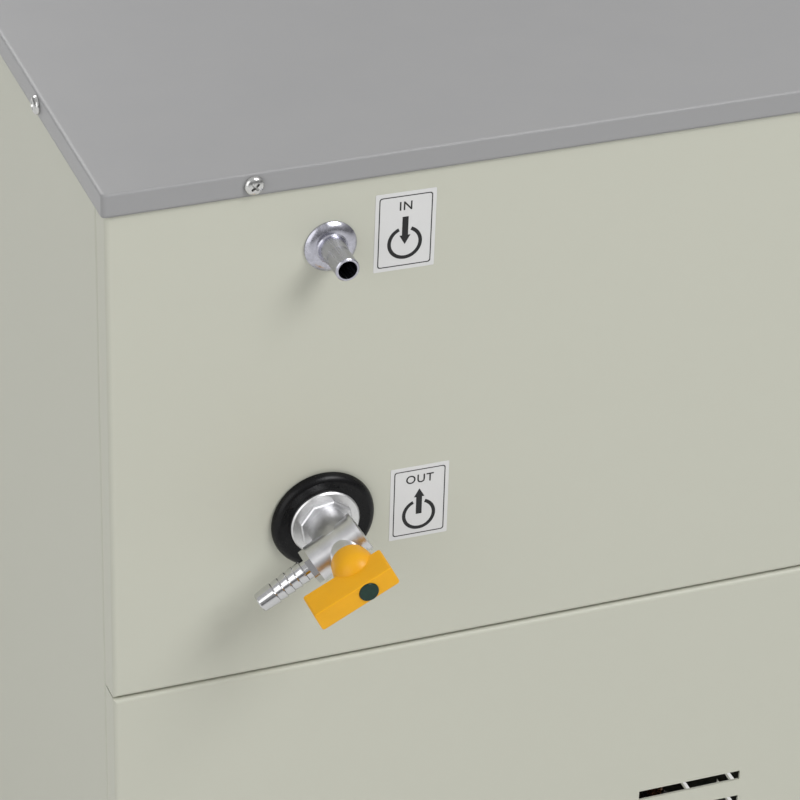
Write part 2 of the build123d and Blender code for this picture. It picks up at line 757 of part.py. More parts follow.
# Wing lever: one moulding of a domed hub and an off-centre bar, with its screw and cap
cap_seat = lever_face - cap_depth
screw_seat = cap_seat - 3.2
bar_middle = (lever_long_arm - lever_short_arm) / 2
hub_crown = lever_back + lever_crown
with BuildPart() as valve_lever:
    with BuildSketch(lever_plane(lever_back)):
        with Locations((bar_middle, 0)):
            Rectangle(lever_long_arm + lever_short_arm, lever_thickness)
    extrude(amount=lever_face - lever_back)
    fillet(valve_lever.edges().filter_by(Axis.Y), 1.2)
    fillet(valve_lever.faces().sort_by(Axis.Y)[-1].edges(), 0.6)
    with BuildSketch(port_section(outlet_x, outlet_z)) as hub:
        with BuildLine():
            skirt = Polyline((0, lever_skirt), (lever_hub_radius, lever_skirt),
                             (lever_hub_radius, lever_skirt + lever_skirt_height))
            dome = ThreePointArc(skirt @ 1, (0.8 * lever_hub_radius, hub_crown - 3.2),
                                 (0.35 * lever_hub_radius, hub_crown))
            Polyline(dome @ 1, (0, hub_crown), skirt @ 0)
        make_face()
    revolve(hub.sketch, axis=port_line(outlet_x, outlet_z))
    with BuildSketch(lever_plane(lever_skirt)):
        Rectangle(stem_square + 2 * socket_clearance, stem_square + 2 * socket_clearance)
    extrude(amount=socket_top - lever_skirt, mode=Mode.SUBTRACT)
    with BuildSketch(lever_plane(socket_top)):
        Circle(lever_screw_radius + port_clearance)
    extrude(amount=lever_face - socket_top, mode=Mode.SUBTRACT)
    with BuildSketch(lever_plane(screw_seat)):
        Circle(lever_screw_head + port_clearance)
    extrude(amount=lever_face - screw_seat, mode=Mode.SUBTRACT)
    with BuildSketch(lever_plane(cap_seat)):
        Circle(cap_radius + hose_fit)
    extrude(amount=cap_depth, mode=Mode.SUBTRACT)
save(valve_lever, "valve_lever")

with BuildPart() as lever_screw:
    with BuildSketch(lever_plane(screw_seat)):
        Circle(lever_screw_radius)
    extrude(amount=-(screw_seat - socket_top + 8))
    with BuildSketch(lever_plane(screw_seat)):
        Circle(lever_screw_head)
    extrude(amount=2.2)
save(lever_screw, "lever_screw")

with BuildPart() as lever_cap:
    with BuildSketch(lever_plane(cap_seat)):
        Circle(cap_radius)
    extrude(amount=cap_depth + cap_dome)
    fillet(lever_cap.edges().sort_by(Axis.Y)[-1], cap_dome * 0.9)
save(lever_cap, "lever_cap")

# Hose tail screwed into the barrel: collar, ferrule and barbs
barb_end = barb_start + barb_count * barb_pitch + barb_tip
with BuildPart() as hose_tail:
    with BuildSketch(barrel_plane(seat_end)):
        Circle(barrel_bore_radius - hose_fit)
    extrude(amount=barrel_nose - seat_end)
    with BuildSketch(barrel_plane(barrel_nose)):
        RegularPolygon(collar_across / 2, 6, major_radius=False)
    extrude(amount=collar_length)
    with BuildSketch(barrel_plane(barrel_nose + collar_length)):
        Circle(ferrule_radius)
    extrude(amount=ferrule_length)
    points = [(0, barb_start), (barb_root_radius, barb_start)]
    for ridge in range(barb_count + 1):
        crest = barb_start + barb_lead + ridge * barb_pitch
        points += [(barb_root_radius, crest - 0.35), (barb_crest_radius, crest),
                   (barb_crest_radius, crest + 0.3)]
        if ridge < barb_count:
            points.append((barb_root_radius + 0.1, crest + barb_pitch - 0.45))
    points += [(barb_root_radius, barb_end - barb_round), (barb_root_radius - barb_round, barb_end),
               (0, barb_end)]
    add(outline(barrel_section, points))
    revolve(axis=Axis(ball_centre, tube_run))
    with BuildSketch(barrel_plane(seat_end)):
        Circle(barb_bore_radius)
    extrude(amount=barb_end - seat_end, mode=Mode.SUBTRACT)
save(hose_tail, "hose_tail")

# Stainless bath with its spout, ports and rim, the foam round it and the coil inside
with BuildPart() as bath_tank:
    with BuildSketch(upright(0, tank_y, tank_floor)):
        RectangleRounded(tank_width, tank_depth, tank_corner)
    extrude(amount=tank_height)
    fillet(bath_tank.faces().sort_by(Axis.Z)[0].edges(), tank_corner / 2)
    offset(amount=-tank_sheet, openings=bath_tank.faces().sort_by(Axis.Z)[-1])
    with BuildSketch(upright(0, tank_y, cover_under)):
        RectangleRounded(tank_width + 2 * tank_rim, tank_depth + 2 * tank_rim, tank_corner + tank_rim)
        RectangleRounded(tank_width - 2 * tank_sheet, tank_depth - 2 * tank_sheet,
                         tank_corner - tank_sheet, mode=Mode.SUBTRACT)
    extrude(amount=-tank_sheet)
    with BuildSketch(upright(pump_x, pump_y, tank_floor + tank_sheet)):
        Circle(spout_radius)
    extrude(amount=-(tank_sheet + spout_length))
    with BuildSketch(upright(pump_x, pump_y, tank_floor + 2 * tank_sheet)):
        Circle(spout_bore_radius)
    extrude(amount=-(3 * tank_sheet + spout_length), mode=Mode.SUBTRACT)
    with BuildSketch(rear_wall(inlet_x, inlet_z, tank_back + 4 - rear_y)):
        Circle(inlet_tube_radius + hose_wall + insulation_gap)
    extrude(amount=-20, mode=Mode.SUBTRACT)
    for x, z in ((coil_radius, coil_low - wall_drop), (-coil_radius, coil_high + wall_drop)):
        with BuildSketch(facing(x, tank_y - tank_depth / 2 + 6, z)):
            Circle(coil_tube_radius + insulation_gap)
        extrude(amount=12, mode=Mode.SUBTRACT)
save(bath_tank, "bath_tank")

foam_width = tank_width + 2 * insulation_side
foam_depth = tank_depth + 2 * insulation_side
with BuildPart() as bath_insulation:
    with BuildSketch(upright(0, tank_y, shelf_top)):
        RectangleRounded(foam_width, foam_depth, tank_corner)
    extrude(amount=cover_under - tank_sheet - insulation_gap - shelf_top)
    with BuildSketch(upright(0, tank_y, tank_floor - insulation_gap)):
        RectangleRounded(tank_width + 2 * insulation_gap, tank_depth + 2 * insulation_gap, tank_corner)
    extrude(amount=tank_height, mode=Mode.SUBTRACT)
    with BuildSketch(upright(pump_x, pump_y, shelf_top)):
        Circle(hose_outer + insulation_gap)
    extrude(amount=insulation_floor, mode=Mode.SUBTRACT)
    with BuildSketch(rear_wall(inlet_x, inlet_z, tank_back + insulation_side - rear_y)):
        Circle(inlet_tube_radius + hose_wall + insulation_gap)
    extrude(amount=-insulation_side - tank_corner, mode=Mode.SUBTRACT)
    for x, z in ((coil_radius, coil_low - wall_drop), (-coil_radius, coil_high + wall_drop)):
        with BuildSketch(facing(x, tank_y - tank_depth / 2 + 14, z)):
            Circle(coil_tube_radius + 4 * insulation_gap)
        extrude(amount=insulation_side + 30, mode=Mode.SUBTRACT)
save(bath_insulation, "bath_insulation")

with BuildPart() as cooling_coil:
    with BuildLine() as coil_path:
        turns = Helix(coil_pitch, coil_pitch * (coil_turns + 0.5), coil_radius,
                      center=(0, tank_y, coil_low))
        Line(turns @ 0 - (turns % 0) * coil_tail, turns @ 0)
        Line(turns @ 1, turns @ 1 + (turns % 1) * coil_tail)
    start = coil_path.line @ 0
    with BuildSketch(Plane(origin=start, z_dir=coil_path.line % 0)):
        Circle(coil_tube_radius)
    sweep(path=coil_path.line)
save(cooling_coil, "cooling_coil")

# Coolant pump: suction hose, casing, impeller, motor, spacers and the hose to the outlet
with BuildPart() as suction_hose:
    with BuildSketch(upright(pump_x, pump_y, pump_top + 1)):
        Circle(hose_outer)
        Circle(spout_radius + hose_fit, mode=Mode.SUBTRACT)
    extrude(amount=tank_floor - pump_top - 2)
save(suction_hose, "suction_hose")

with BuildPart() as pump_casing:
    with BuildSketch(upright(pump_x, pump_y, pump_top - pump_height)):
        Circle(pump_radius)
    extrude(amount=pump_height)
    fillet(pump_casing.edges().sort_by(Axis.Z)[-1], 4)
    with BuildSketch(upright(pump_x, pump_y, pump_top)):
        Circle(spout_radius)
    extrude(amount=spout_length)
    with BuildSketch(Plane(origin=(outlet_x, pump_y, pump_spout_z), x_dir=(1, 0, 0), z_dir=(0, 1, 0))):
        Circle(spout_radius)
    extrude(amount=pump_radius + spout_length)
    with BuildSketch(upright(pump_x, pump_y, pump_top - pump_height)):
        Circle(pump_radius - pump_wall)
    extrude(amount=pump_height - pump_wall, mode=Mode.SUBTRACT)
    with BuildSketch(upright(pump_x, pump_y, pump_top - 2 * pump_wall)):
        Circle(spout_bore_radius)
    extrude(amount=2 * pump_wall + spout_length, mode=Mode.SUBTRACT)
    with BuildSketch(Plane(origin=(outlet_x, pump_y, pump_spout_z), x_dir=(1, 0, 0), z_dir=(0, 1, 0))):
        Circle(spout_bore_radius)
    extrude(amount=pump_radius + spout_length, mode=Mode.SUBTRACT)
save(pump_casing, "pump_casing")

impeller_z = pump_top - pump_height + impeller_gap
with BuildPart() as pump_impeller:
    with BuildSketch(upright(pump_x, pump_y, impeller_z)):
        Circle(impeller_radius)
    extrude(amount=2)
    with BuildSketch(upright(pump_x, pump_y, impeller_z)):
        Circle(2.4 * pump_shaft_radius)
    extrude(amount=impeller_height)
    with BuildSketch(upright(pump_x, pump_y, impeller_z)):
        with PolarLocations(0.55 * impeller_radius, impeller_vanes):
            Rectangle(0.8 * impeller_radius, 2, rotation=35)
    extrude(amount=impeller_height)
    with BuildSketch(upright(pump_x, pump_y, impeller_z)):
        Circle(impeller_radius)
    extrude(amount=impeller_height, mode=Mode.INTERSECT)
    with BuildSketch(upright(pump_x, pump_y, impeller_z)):
        Circle(pump_shaft_radius)
    extrude(amount=-(impeller_gap + 0.6 * pump_motor_height))
save(pump_impeller, "pump_impeller")

with BuildPart() as pump_motor:
    with BuildSketch(upright(pump_x, pump_y, pump_top - pump_height)):
        Circle(pump_flange_radius)
    extrude(amount=-pump_flange_height)
    with BuildSketch(upright(pump_x, pump_y, pump_top - pump_height - pump_flange_height)):
        Circle(pump_motor_radius)
    extrude(amount=-pump_motor_height)
    fillet(pump_motor.edges().sort_by(Axis.Z)[0], 5)
    with BuildSketch(upright(pump_x, pump_y, pump_top - pump_height)):
        Circle(pump_shaft_radius + shaft_clearance)
    extrude(amount=-(0.6 * pump_motor_height + 2), mode=Mode.SUBTRACT)
save(pump_motor, "pump_motor")

with BuildPart() as pump_spacers:
    with BuildSketch(upright(pump_x, pump_y, pump_top - pump_height)):
        with PolarLocations(spacer_circle, 3, start_angle=spacer_turn):
            Circle(spacer_radius)
    extrude(amount=shelf_top - panel_sheet - pump_top + pump_height)
save(pump_spacers, "pump_spacers")

outlet_hose_route = [
    (outlet_x, pump_y + pump_radius + 2, pump_spout_z),
    (outlet_x, hose_y, pump_spout_z),
    (outlet_x, hose_y, outlet_z),
    (outlet_x, rear_y - shank_length - 1, outlet_z),
]
with BuildPart() as outlet_hose:
    add(tube(outlet_hose_route, hose_bend, hose_outer, spout_radius + hose_fit, (0, 1, 0)))
save(outlet_hose, "outlet_hose")

# Compressor on its rubber mounts
compressor_foot = deck_z + mount_height
compressor_mid_y = body_y + compressor_y
suction_stub_x = -coil_radius
discharge_x = compressor_x - 30
stub_rise = 0.4 * compressor_height + 12
stub_top = compressor_foot + compressor_height + 12
with BuildPart() as compressor:
    with BuildSketch(upright(compressor_x, compressor_mid_y, compressor_foot)):
        RectangleRounded(mount_span + 3 * mount_radius, mount_span + 3 * mount_radius, 1.5 * mount_radius)
    extrude(amount=3)
    with BuildSketch(upright(compressor_x, compressor_mid_y, compressor_foot)):
        Circle(compressor_radius)
    extrude(amount=compressor_height)
    fillet(compressor.edges().filter_by(GeomType.CIRCLE).sort_by(Axis.Z)[-1], 0.5 * compressor_radius)
    with BuildSketch(upright(compressor_x, compressor_mid_y, compressor_foot + 0.5 * compressor_height)):
        Circle(compressor_radius + 2.5)
    extrude(amount=6)
    with BuildSketch(upright(suction_stub_x, compressor_mid_y, compressor_foot + 0.6 * compressor_height)):
        Circle(line_radius + 1)
    extrude(amount=stub_rise)
    with BuildSketch(upright(discharge_x, compressor_mid_y, compressor_foot + 0.6 * compressor_height)):
        Circle(line_radius + 1)
    extrude(amount=stub_rise)
    with BuildSketch(upright(compressor_x, compressor_mid_y, compressor_foot + 30)):
        with Locations((0, -compressor_radius - 4)):
            RectangleRounded(52, 30, 5)
    extrude(amount=46)
save(compressor, "compressor")

with BuildPart() as compressor_mounts:
    with BuildSketch(upright(compressor_x, compressor_mid_y, deck_z)):
        with GridLocations(mount_span, mount_span, 2, 2):
            Circle(mount_radius)
    extrude(amount=mount_height)
save(compressor_mounts, "compressor_mounts")

# Condenser: plate fins on one serpentine tube, standing on its end plates
condenser_y = front_y + condenser_setback + condenser_depth / 2
condenser_foot = deck_z + 12
pass_pitch = condenser_height / condenser_passes
pass_heights = [condenser_foot + pass_pitch * (step + 0.5) for step in range(condenser_passes)]
fin_pitch = condenser_width / (fin_count - 1)
with BuildPart() as condenser:
    for step in range(fin_count):
        end = step in (0, fin_count - 1)
        foot = deck_z if end else condenser_foot
        thickness = 2 * fin_sheet if end else fin_sheet
        with BuildSketch(Plane.YZ.offset(fin_pitch * step - condenser_width / 2)):
            with Locations((condenser_y, (foot + condenser_foot + condenser_height) / 2)):
                Rectangle(condenser_depth, condenser_foot + condenser_height - foot)
        extrude(amount=thickness / 2, both=True)
    for height in pass_heights:
        with BuildSketch(Plane.YZ.offset(-condenser_width / 2 - 6)):
            with Locations((condenser_y, height)):
                Circle(condenser_tube_radius)
        extrude(amount=condenser_width + 12)
    for step, height in enumerate(pass_heights[:-1]):
        side = -1 if step % 2 == 0 else 1
        edge = side * (condenser_width / 2 + 6)
        with BuildLine(Plane.XZ.offset(-condenser_y)) as bend:
            ThreePointArc((edge, height), (edge + side * pass_pitch / 2, height + pass_pitch / 2),
                          (edge, height + pass_pitch))
        with BuildSketch(Plane.YZ.offset(edge)):
            with Locations((condenser_y, height)):
                Circle(condenser_tube_radius)
        sweep(path=bend.line)
save(condenser, "condenser")

# Fan: plate, ring and spokes in one pressing, the rotor, and the motor behind it
fan_y = front_y + condenser_setback + condenser_depth + cover_gap
fan_z = condenser_foot + condenser_height / 2
ring_end = fan_y + fan_plate + fan_ring_depth
with BuildPart() as fan_frame:
    with BuildSketch(facing(0, fan_y + fan_plate, fan_z)):
        with Locations((0, (deck_z - condenser_foot) / 2)):
            Rectangle(condenser_width, condenser_height + condenser_foot - deck_z)
        Circle(fan_radius + fan_gap, mode=Mode.SUBTRACT)
    extrude(amount=fan_plate)
    with BuildSketch(facing(0, ring_end, fan_z)):
        Circle(fan_radius + fan_gap + fan_plate)
        Circle(fan_radius + fan_gap, mode=Mode.SUBTRACT)
    extrude(amount=fan_ring_depth)
    with BuildSketch(facing(0, ring_end + fan_plate, fan_z)):
        with PolarLocations((fan_radius + fan_hub_radius) / 2, 4, start_angle=45):
            Rectangle(fan_radius - fan_hub_radius + 12, 12)
        Circle(fan_motor_radius + 4)
        Circle(fan_shaft_radius + 2, mode=Mode.SUBTRACT)
    extrude(amount=fan_plate)
save(fan_frame, "fan_frame")

rotor_front = fan_y + fan_plate + 3
with BuildPart() as fan_rotor:
    with BuildSketch(facing(0, rotor_front + fan_hub_depth, fan_z)):
        Circle(fan_hub_radius)
    extrude(amount=fan_hub_depth)
    fillet(fan_rotor.edges().sort_by(Axis.Y)[0], 4)
    for step in range(fan_blades):
        turn = radians(360 / fan_blades * step)
        pitch = radians(fan_blade_pitch)
        normal = Vector(-sin(turn) * sin(pitch), -cos(pitch), cos(turn) * sin(pitch))
        blade_plane = Plane(origin=(0, rotor_front + fan_hub_depth / 2, fan_z),
                            x_dir=(cos(turn), 0, sin(turn)), z_dir=normal)
        with BuildSketch(blade_plane):
            with BuildLine():
                root = Line((fan_hub_radius - 3, -14), (fan_hub_radius - 3, 14))
                leading = ThreePointArc(root @ 1, (0.68 * fan_radius, 31), (fan_radius - 6, 26))
                crest = ThreePointArc(leading @ 1, (fan_radius - 1.5, 0), (fan_radius - 12, -20))
                ThreePointArc(crest @ 1, (0.6 * fan_radius, -20), root @ 0)
            make_face()
        extrude(amount=fan_blade_sheet / 2, both=True)
    with BuildSketch(facing(0, rotor_front + fan_hub_depth, fan_z)):
        Circle(fan_shaft_radius)
    extrude(amount=-(ring_end + fan_plate - rotor_front - fan_hub_depth + 20))
save(fan_rotor, "fan_rotor")

with BuildPart() as fan_motor:
    with BuildSketch(facing(0, ring_end + fan_plate + fan_motor_depth, fan_z)):
        Circle(fan_motor_radius)
    extrude(amount=fan_motor_depth)
    fillet(fan_motor.edges().sort_by(Axis.Y)[-1], 6)
    with BuildSketch(facing(0, ring_end + fan_plate + 24, fan_z)):
        Circle(fan_shaft_radius + shaft_clearance)
    extrude(amount=24, mode=Mode.SUBTRACT)
save(fan_motor, "fan_motor")

# Refrigerant lines between the compressor, condenser, drier and coil
condenser_end = condenser_width / 2 + 6
line_high = pump_top - 56.0
tail_y = tank_y - tail_run - line_joint
with BuildPart() as suction_line:
    add(tube([
        (-coil_radius, tail_y, coil_high + tail_drop),
        (-coil_radius, line_drop_y, coil_high + tail_drop),
        (-coil_radius, line_drop_y, line_high),
        (-coil_radius, compressor_mid_y, line_high),
        (-coil_radius, compressor_mid_y, stub_top + line_joint),
    ], line_bend, line_radius, line_radius - line_wall, (0, -1, 0)))
save(suction_line, "suction_line")

with BuildPart() as discharge_line:
    add(tube([
        (discharge_x, compressor_mid_y, stub_top + line_joint),
        (discharge_x, compressor_mid_y, pass_heights[-1]),
        (-condenser_end - line_reach, compressor_mid_y, pass_heights[-1]),
        (-condenser_end - line_reach, condenser_y, pass_heights[-1]),
        (-condenser_end - line_joint, condenser_y, pass_heights[-1]),
    ], line_bend, line_radius, line_radius - line_wall, (0, 0, 1)))
save(discharge_line, "discharge_line")

drier_z = pump_top - drier_drop
drier_back = drier_y + drier_length / 2
drier_front = drier_y - drier_length / 2
with BuildPart() as filter_drier:
    with BuildSketch(Plane(origin=(coil_radius, drier_y, drier_z), x_dir=(1, 0, 0), z_dir=(0, 0, 1))):
        with BuildLine():
            end = drier_length / 2
            Polyline((0, -end), (line_radius + 1, -end), (line_radius + 1, 8 - end),
                     (drier_radius, 20 - end), (drier_radius, end - 20), (line_radius + 1, end - 8),
                     (line_radius + 1, end), (0, end), close=True)
        make_face()
    revolve(axis=Axis((coil_radius, drier_y, drier_z), (0, 1, 0)))
save(filter_drier, "filter_drier")

with BuildPart() as liquid_line:
    add(tube([
        (condenser_end + line_joint, condenser_y, pass_heights[0]),
        (condenser_end + line_reach, condenser_y, pass_heights[0]),
        (condenser_end + line_reach, drier_back + line_reach, pass_heights[0]),
        (condenser_end + line_reach, drier_back + line_reach, drier_z),
        (coil_radius, drier_back + line_reach, drier_z),
        (coil_radius, drier_back + line_joint, drier_z),
    ], line_bend, line_radius, line_radius - line_wall, (1, 0, 0)))
save(liquid_line, "liquid_line")

with BuildPart() as feed_line:
    add(tube([
        (coil_radius, drier_front - line_joint, drier_z),
        (coil_radius, line_drop_y, drier_z),
        (coil_radius, line_drop_y, coil_low - tail_drop),
        (coil_radius, tail_y, coil_low - tail_drop),
    ], line_bend, line_radius, line_radius - line_wall, (0, -1, 0)))
save(feed_line, "feed_line")

# Display bezel with its window, keys and the board behind them
boss_places = GridLocations(bezel_width - 8 * bezel_wall, bezel_height - 8 * bezel_wall, 2, 2).locations
with BuildPart() as display_bezel:
    with BuildSketch(front_wall(bezel_x, controls_z)):
        RectangleRounded(bezel_width, bezel_height, 6)
    extrude(amount=bezel_depth)
    fillet(display_bezel.faces().sort_by(Axis.Y)[0].edges(), 1)
    with BuildSketch(front_wall(bezel_x, controls_z)):
        with Locations(boss_places):
            Circle(bezel_wall)
    extrude(amount=-board_gap)
    with BuildSketch(front_wall(bezel_x, window_z, bezel_depth)):
        Rectangle(window_width, window_height)
    extrude(amount=-window_sheet - window_recess, mode=Mode.SUBTRACT)
    with BuildSketch(front_wall(bezel_x, window_z, bezel_depth)):
        Rectangle(window_width - 2 * bezel_wall, window_height - 2 * bezel_wall)
    extrude(amount=-bezel_depth, mode=Mode.SUBTRACT)
    for x in key_places:
        with BuildSketch(front_wall(x, key_z, bezel_depth)):
            Rectangle(key_width + 2 * key_gap, key_height + 2 * key_gap)
        extrude(amount=-bezel_depth, mode=Mode.SUBTRACT)
save(display_bezel, "display_bezel")

with BuildPart() as display_window:
    with BuildSketch(front_wall(bezel_x, window_z, bezel_depth - window_recess)):
        Rectangle(window_width - port_clearance, window_height - port_clearance)
    extrude(amount=-window_sheet)
save(display_window, "display_window")

with BuildPart() as control_board:
    with BuildSketch(front_wall(bezel_x, controls_z, -board_gap)):
        Rectangle(bezel_width - 5 * bezel_wall, bezel_height - 5 * bezel_wall)
    extrude(amount=-board_sheet)
    with BuildSketch(front_wall(bezel_x, window_z, -board_gap)):
        Rectangle(window_width - 4 * bezel_wall, window_height - 3 * bezel_wall)
    extrude(amount=board_gap - 1)
    for x in key_places:
        with BuildSketch(front_wall(x, key_z, -board_gap)):
            Rectangle(6, 6)
        extrude(amount=tact_height)
    with BuildSketch(front_wall(bezel_x, controls_z, -board_gap - board_sheet)):
        with Locations((-40, 8), (-12, 8), (22, 6)):
            Rectangle(20, 26)
    extrude(amount=-16)
save(control_board, "control_board")

key_names = ["key_down", "key_set", "key_up"]
for x, name in zip(key_places, key_names):
    with BuildPart() as key:
        with BuildSketch(front_wall(x, key_z, bezel_depth + key_proud)):
            RectangleRounded(key_width, key_height, 1.2)
        extrude(amount=-(bezel_depth + key_proud + key_gap))
        fillet(key.faces().sort_by(Axis.Y)[0].edges(), 0.6)
        with BuildSketch(front_wall(x, key_z, -key_gap)):
            Rectangle(key_width + 3, key_height + 3)
        extrude(amount=-1)
        with BuildSketch(front_wall(x, key_z, -key_gap)):
            Circle(2)
        extrude(amount=-(board_gap - tact_height - key_travel - 2 * key_gap))
    save(key, name)

# Three rocker switches, each a frame and its rocker
switch_names = ["power", "cooling", "pump"]
well_half = rocker_half + 1.0
for x, name in zip(switch_places, switch_names):
    with BuildPart() as frame:
        with BuildSketch(front_wall(x, controls_z)):
            RectangleRounded(switch_width + 4, switch_height + 4, 1.5)
        extrude(amount=switch_flange)
        fillet(frame.faces().sort_by(Axis.Y)[0].edges(), 0.6)
        with BuildSketch(front_wall(x, controls_z)):
            Rectangle(switch_width - 2 * port_clearance, switch_height - 2 * port_clearance)
        extrude(amount=-switch_depth)
        with BuildSketch(front_wall(x, controls_z, switch_flange)):
            Rectangle(switch_width - 2 * port_clearance - 2 * switch_wall, 2 * well_half)
        extrude(amount=-(switch_flange + switch_depth - switch_wall), mode=Mode.SUBTRACT)
        with BuildSketch(Plane(origin=(x, front_y - rocker_pivot, controls_z), x_dir=(0, 0, 1),
                               z_dir=(1, 0, 0))):
            Circle(rocker_pin_radius + shaft_clearance)
        extrude(amount=switch_width / 2, both=True, mode=Mode.SUBTRACT)
    save(frame, name + "_switch_frame")

    rocker_width = switch_width - 2 * port_clearance - 2 * switch_wall - 2 * rocker_gap
    pivot = Plane(origin=(x, front_y - rocker_pivot, controls_z), x_dir=(0, 0, 1), z_dir=(1, 0, 0))
    with BuildPart() as rocker:
        with BuildSketch(Plane(origin=pivot.origin, x_dir=(0, -sin(tilt), cos(tilt)), z_dir=(1, 0, 0))):
            with BuildLine():
                Polyline((-rocker_half, rocker_crest), (-rocker_half, -1), (0, -4.5),
                         (rocker_half, -1), (rocker_half, rocker_crest), (0, rocker_crest - 1.8),
                         close=True)
            make_face()
        extrude(amount=rocker_width / 2, both=True)
        with BuildSketch(pivot):
            Circle(rocker_pin_radius)
        extrude(amount=rocker_width / 2 + rocker_gap + 0.7 * switch_wall, both=True)
    save(rocker, name + "_rocker")

# Power inlet with its three pins in the socket
with BuildPart() as power_inlet:
    with BuildSketch(rear_wall(power_inlet_x, power_inlet_z)):
        RectangleRounded(power_inlet_width + 6, power_inlet_height + 6, 2.5)
    extrude(amount=2)
    with BuildSketch(rear_wall(power_inlet_x, power_inlet_z)):
        Rectangle(power_inlet_width - 2 * port_clearance, power_inlet_height - 2 * port_clearance)
    extrude(amount=-power_inlet_depth)
    with BuildSketch(rear_wall(power_inlet_x, power_inlet_z, 2)):
        RectangleRounded(power_inlet_width - 6, power_inlet_height - 5, 2)
    extrude(amount=-power_inlet_depth, mode=Mode.SUBTRACT)
    with BuildSketch(rear_wall(power_inlet_x, power_inlet_z, 2 - power_inlet_depth)):
        with Locations((-7, -2), (0, 2), (7, -2)):
            Rectangle(2, 4)
    extrude(amount=power_inlet_depth - 4)
save(power_inlet, "power_inlet")
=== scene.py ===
"""Finish, labels and small marks of a recirculating chiller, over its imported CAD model."""
import math

import bmesh
import bpy
from mathutils import Matrix, Vector


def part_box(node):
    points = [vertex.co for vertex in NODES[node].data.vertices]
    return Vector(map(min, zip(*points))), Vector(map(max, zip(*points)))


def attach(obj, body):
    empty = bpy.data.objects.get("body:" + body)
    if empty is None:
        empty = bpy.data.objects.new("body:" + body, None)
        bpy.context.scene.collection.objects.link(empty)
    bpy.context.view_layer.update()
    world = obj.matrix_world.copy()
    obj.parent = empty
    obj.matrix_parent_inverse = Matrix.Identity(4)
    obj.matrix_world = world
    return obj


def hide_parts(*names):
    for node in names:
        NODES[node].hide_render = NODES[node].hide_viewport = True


bl_info = {
    "name": "Recirculating chiller finish",
    "version": (1, 0, 0),
    "blender": (4, 5, 0),
    "location": "3D View > Sidebar > Chiller",
    "description": "Materials, port labels, screws and control marks of a bench recirculating chiller",
    "category": "Object",
}

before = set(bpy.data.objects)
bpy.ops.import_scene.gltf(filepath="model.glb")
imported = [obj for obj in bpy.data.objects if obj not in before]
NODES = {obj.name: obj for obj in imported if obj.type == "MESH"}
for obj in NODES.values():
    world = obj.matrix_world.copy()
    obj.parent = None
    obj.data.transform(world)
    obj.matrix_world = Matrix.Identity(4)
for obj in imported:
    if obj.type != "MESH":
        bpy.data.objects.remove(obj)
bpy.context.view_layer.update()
REAR_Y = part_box("rear_upper_panel")[1].y
FRONT_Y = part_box("front_upper_panel")[0].y
MM = 0.001
KEYS = ("key_down", "key_set", "key_up")
ROCKERS = ("power_rocker", "cooling_rocker", "pump_rocker")

# Drawings on the rear and front walls: columns are right, up and out
REAR = Matrix(((-1, 0, 0), (0, 0, 1), (0, 1, 0)))
FRONT = Matrix(((1, 0, 0), (0, 0, -1), (0, 1, 0)))

# Word, middle of the label in x and z, tilt in degrees, drop of the ring's middle; lengths in mm
PORT_LABELS = (("IN", 65.9, 623.17, -0.7, 5.47), ("OUT", 56.3, 492.6, -0.2, 6.32))
# Heights of a label's paper and of its print, and of any other mark, in mm
PRINT = (0.15, 0.19)
MARK = (0.0, 0.06)
# Middle height of the switches and of the signs above them, in metres
SWITCH_Z = 0.564
SIGN_Z = SWITCH_Z + 0.0265
# Name, place, size and share of the key lamp's power
LAMPS = (("key_lamp", (-1.2, 1.95, 2.7), 1.3, 1.0), ("fill_lamp", (2.3, 1.6, 1.3), 2.2, 0.42),
         ("front_lamp", (0.7, -2.4, 1.9), 2.0, 0.6))
# Bars of each character on a seven-segment display
SEGMENTS = {"0": "abcdef", "1": "bc", "2": "abged", "3": "abgcd", "4": "fgbc", "5": "afgcd",
            "6": "afgedc", "7": "abc", "8": "abcdefg", "9": "abcdfg", "-": "g"}


# Mesh helpers

def on_wall(wall, origin):
    """Local millimetres (right, up, out) of a wall drawing, placed in the row frame."""
    place = wall.to_4x4() @ Matrix.Scale(MM, 4)
    place.translation = Vector(origin)
    return place


def loft(mesh, lower, low, upper, high):
    """A closed solid between two outlines with as many points, each at its own height."""
    base = [mesh.verts.new((x, y, low)) for x, y in lower]
    top = [mesh.verts.new((x, y, high)) for x, y in upper]
    mesh.faces.new(list(reversed(base)))
    mesh.faces.new(top)
    for i in range(len(base)):
        j = (i + 1) % len(base)
        mesh.faces.new((base[i], base[j], top[j], top[i]))


def prism(mesh, points, low, high):
    """A closed plate with the given outline, between two heights."""
    loft(mesh, points, low, points, high)


def band(mesh, outer, inner, low, high, closed=True):
    """A closed frame or arc between two outlines with as many points each."""
    rings = [[mesh.verts.new((x, y, z)) for x, y in points]
             for points, z in ((outer, low), (outer, high), (inner, high), (inner, low))]
    count = len(outer)
    for i in range(count if closed else count - 1):
        j = (i + 1) % count
        for a in range(4):
            b = (a + 1) % 4
            mesh.faces.new((rings[a][i], rings[a][j], rings[b][j], rings[b][i]))
    if not closed:
        mesh.faces.new([ring[0] for ring in rings])
        mesh.faces.new([ring[-1] for ring in reversed(rings)])


def rounded(width, height, radius, steps=6):
    """Outline of a rectangle with round corners, anticlockwise."""
    points = []
    for corner, (sx, sy) in enumerate(((1, -1), (1, 1), (-1, 1), (-1, -1))):
        cx, cy = sx * (width / 2 - radius), sy * (height / 2 - radius)
        start = -90 + 90 * corner
        for i in range(steps + 1):
            angle = math.radians(start + 90 * i / steps)
            points.append((cx + radius * math.cos(angle), cy + radius * math.sin(angle)))
    return points


